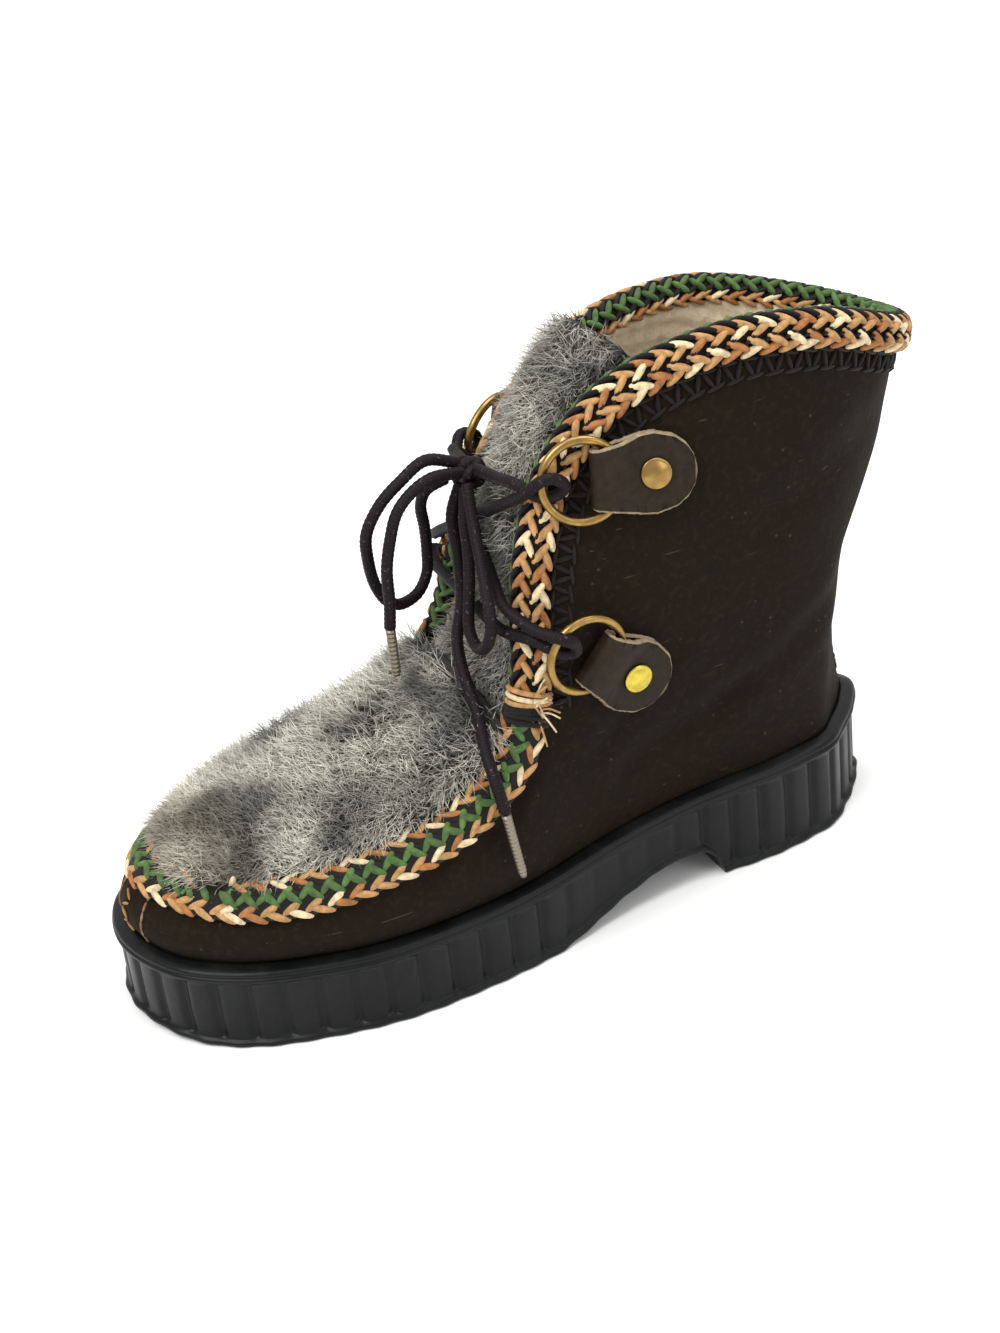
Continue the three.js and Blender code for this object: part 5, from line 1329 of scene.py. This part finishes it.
def draped(a, b, hump=0.0, hump_at=0.5):
    """The middle of a strand from a to b: straight from the front, lying in the CAD strand's own depth, which
    is found by looking along +Y at its face. hump lifts it forward where it crosses another strand."""
    share = np.linspace(0.1, 0.9, 22)
    line = a + (b - a) * share[:, None]
    for point in line:
        hit = crossing_tree.ray_cast((point[0], FRONT, point[2]), (0, 1, 0))[0]
        point[1] = hit.y + LACE / 2 if hit else np.nan
    known = ~np.isnan(line[:, 1])
    line[:, 1] = np.interp(share, share[known], line[known, 1])
    line[1:-1, 1] = (line[:-2, 1] + 2 * line[1:-1, 1] + line[2:, 1]) / 4
    line[:, 1] -= hump * np.exp(-((share - hump_at) / 0.09) ** 2)
    return list(line)


def to_knot(mount, place):
    """From behind a ring's wire to the knot, slightly slack."""
    end = KNOT + KNOT_HALF * np.array(place)
    line = over_ring(mount) + (end - over_ring(mount)) * np.array([[0.3], [0.6]])
    line[:, 1] -= 0.0006
    return list(line) + [end, KNOT]


place_of = {mount: over_ring(mount) for mount in MOUNTS}
route = (to_knot("upper_lateral", (0.45, 0.1, 0.3))[::-1] + round_wire("upper_lateral", -0.0022, 0.0036)[::-1]
         + draped(place_of["upper_lateral"], place_of["lower_medial"], 0.0030)
         + round_wire("lower_medial", 0.0022, -0.0030)
         + draped(place_of["lower_medial"], place_of["lower_lateral"])
         + round_wire("lower_lateral", -0.0022, 0.0030)[::-1]
         + draped(place_of["lower_lateral"], place_of["upper_medial"])
         + round_wire("upper_medial", 0.0022, -0.0036) + to_knot("upper_medial", (-0.7, 0.2, 0.1)))
shape, skin, uv = tube(spaced(curve_through(np.array(route)), LACE_STEP), LACE / 2, relief=LACE_RELIEF)
add_piece("lace_crossing_cord", shape, skin, lace_finish, "lace", uv, stands_for="lace_crossings")


# Binding. Where the two braids meet at the lateral throat, black thread is tied round them, under a few
# turns of tan and cream thread whose ends have frayed.

BIND_SECTION = 5.68
TURNS = (BLACK, BLACK, BLACK, BLACK, TAN, CREAM, TAN)
THREAD = 0.0016
FRAY_COUNT = 12

bind_at, bind_along, bind_normal, bind_past = (v[0] for v in edge_frame(np.array([BIND_SECTION]), 1))
angle = np.linspace(0, 2 * np.pi, 25)[:, None]
bind_parts = []
draw = np.random.default_rng(5)
for i, code in enumerate(TURNS):
    middle = bind_at + bind_along * (i - 3) * 0.0015 + bind_normal * 0.0003 - bind_past * 0.001
    loop = (middle + bind_normal * 0.0052 * np.cos(angle) + bind_past * 0.0062 * np.sin(angle)
            + bind_along * 0.0006 * np.sin(angle + i))
    shape, skin, uv = tube(loop, THREAD / 2, 8)
    bind_parts.append((shape, skin, uv, one_dye(code, shape)))
for i in range(FRAY_COUNT):
    start = (bind_at + bind_normal * 0.0045 + bind_along * draw.uniform(-0.004, 0.004)
             - bind_past * draw.uniform(0, 0.004))
    way = unit(bind_normal * 0.5 - bind_past * draw.uniform(0.1, 0.9) + bind_along * draw.normal(0, 0.8))
    reach = draw.uniform(0.004, 0.010)
    fray = curve_through([start, start + way * reach * 0.5, start + way * reach - np.array([0, 0, 0.002])])
    shape, skin, uv = tube(spaced(fray, 0.001), 0.0003, 5)
    bind_parts.append((shape, skin, uv, one_dye(CREAM if i % 2 else TAN, shape)))
shape, skin, uv, dye = dyed(bind_parts)
add_piece("throat_binding", shape, skin, yarn_finish, "braid", uv, dye)


# Seams. The leather is butted at the toe and at the heel, drawn together by cross stitches of tan thread
# with a row of dark stitches on each side.

# Seams: name, place round the shoe, half their spread, lowest and highest height, stitches, side colour
SEAMS = (("toe_seam", 0.0, 0.010, 0.08, 0.78, 6, "#8c6a44"),
         ("heel_seam", 0.5, 0.009, 0.06, 0.93, 34, "#120c08"))


def seam_stitches(around_at, apart, low, high, count, side_code):
    """Stitches up the seam line: each lies across it, tilted in turn, with a stitch upwards on each side."""
    height = np.linspace(low, high, count)
    turn = around_at + np.array([-apart, -0.004, 0, 0.004, apart])
    left, near_left, place, near_right, right = np.moveaxis(upper_rows(turn, height), 1, 0)
    over = unit(near_right - near_left)
    up = unit(np.gradient(place, axis=0))
    out = unit(np.cross(over, up))
    tilt = np.where(np.arange(count) % 2, 0.5, -0.5)[:, None]
    parts = [strands(place + out * 0.0003, unit(over + up * tilt), out, 0.0045, 0.0010, 0.0010,
                     ["#a8763f"] * count)]
    for side, row, near in ((-1, left, near_left), (1, right, near_right)):
        row_up = unit(np.gradient(row, axis=0))
        row_out = unit(np.cross(unit(row - near) * side, row_up))
        parts.append(strands(row + row_out * 0.0001, row_up, row_out, 0.0034, 0.0009, 0.0008,
                             [side_code] * count))
    return dyed(parts)


for name, around_at, apart, low, high, count, code in SEAMS:
    shape, skin, uv, dye = seam_stitches(around_at, apart, low, high, count, code)
    add_piece(name, shape, skin, yarn_finish, "leather", uv, dye)
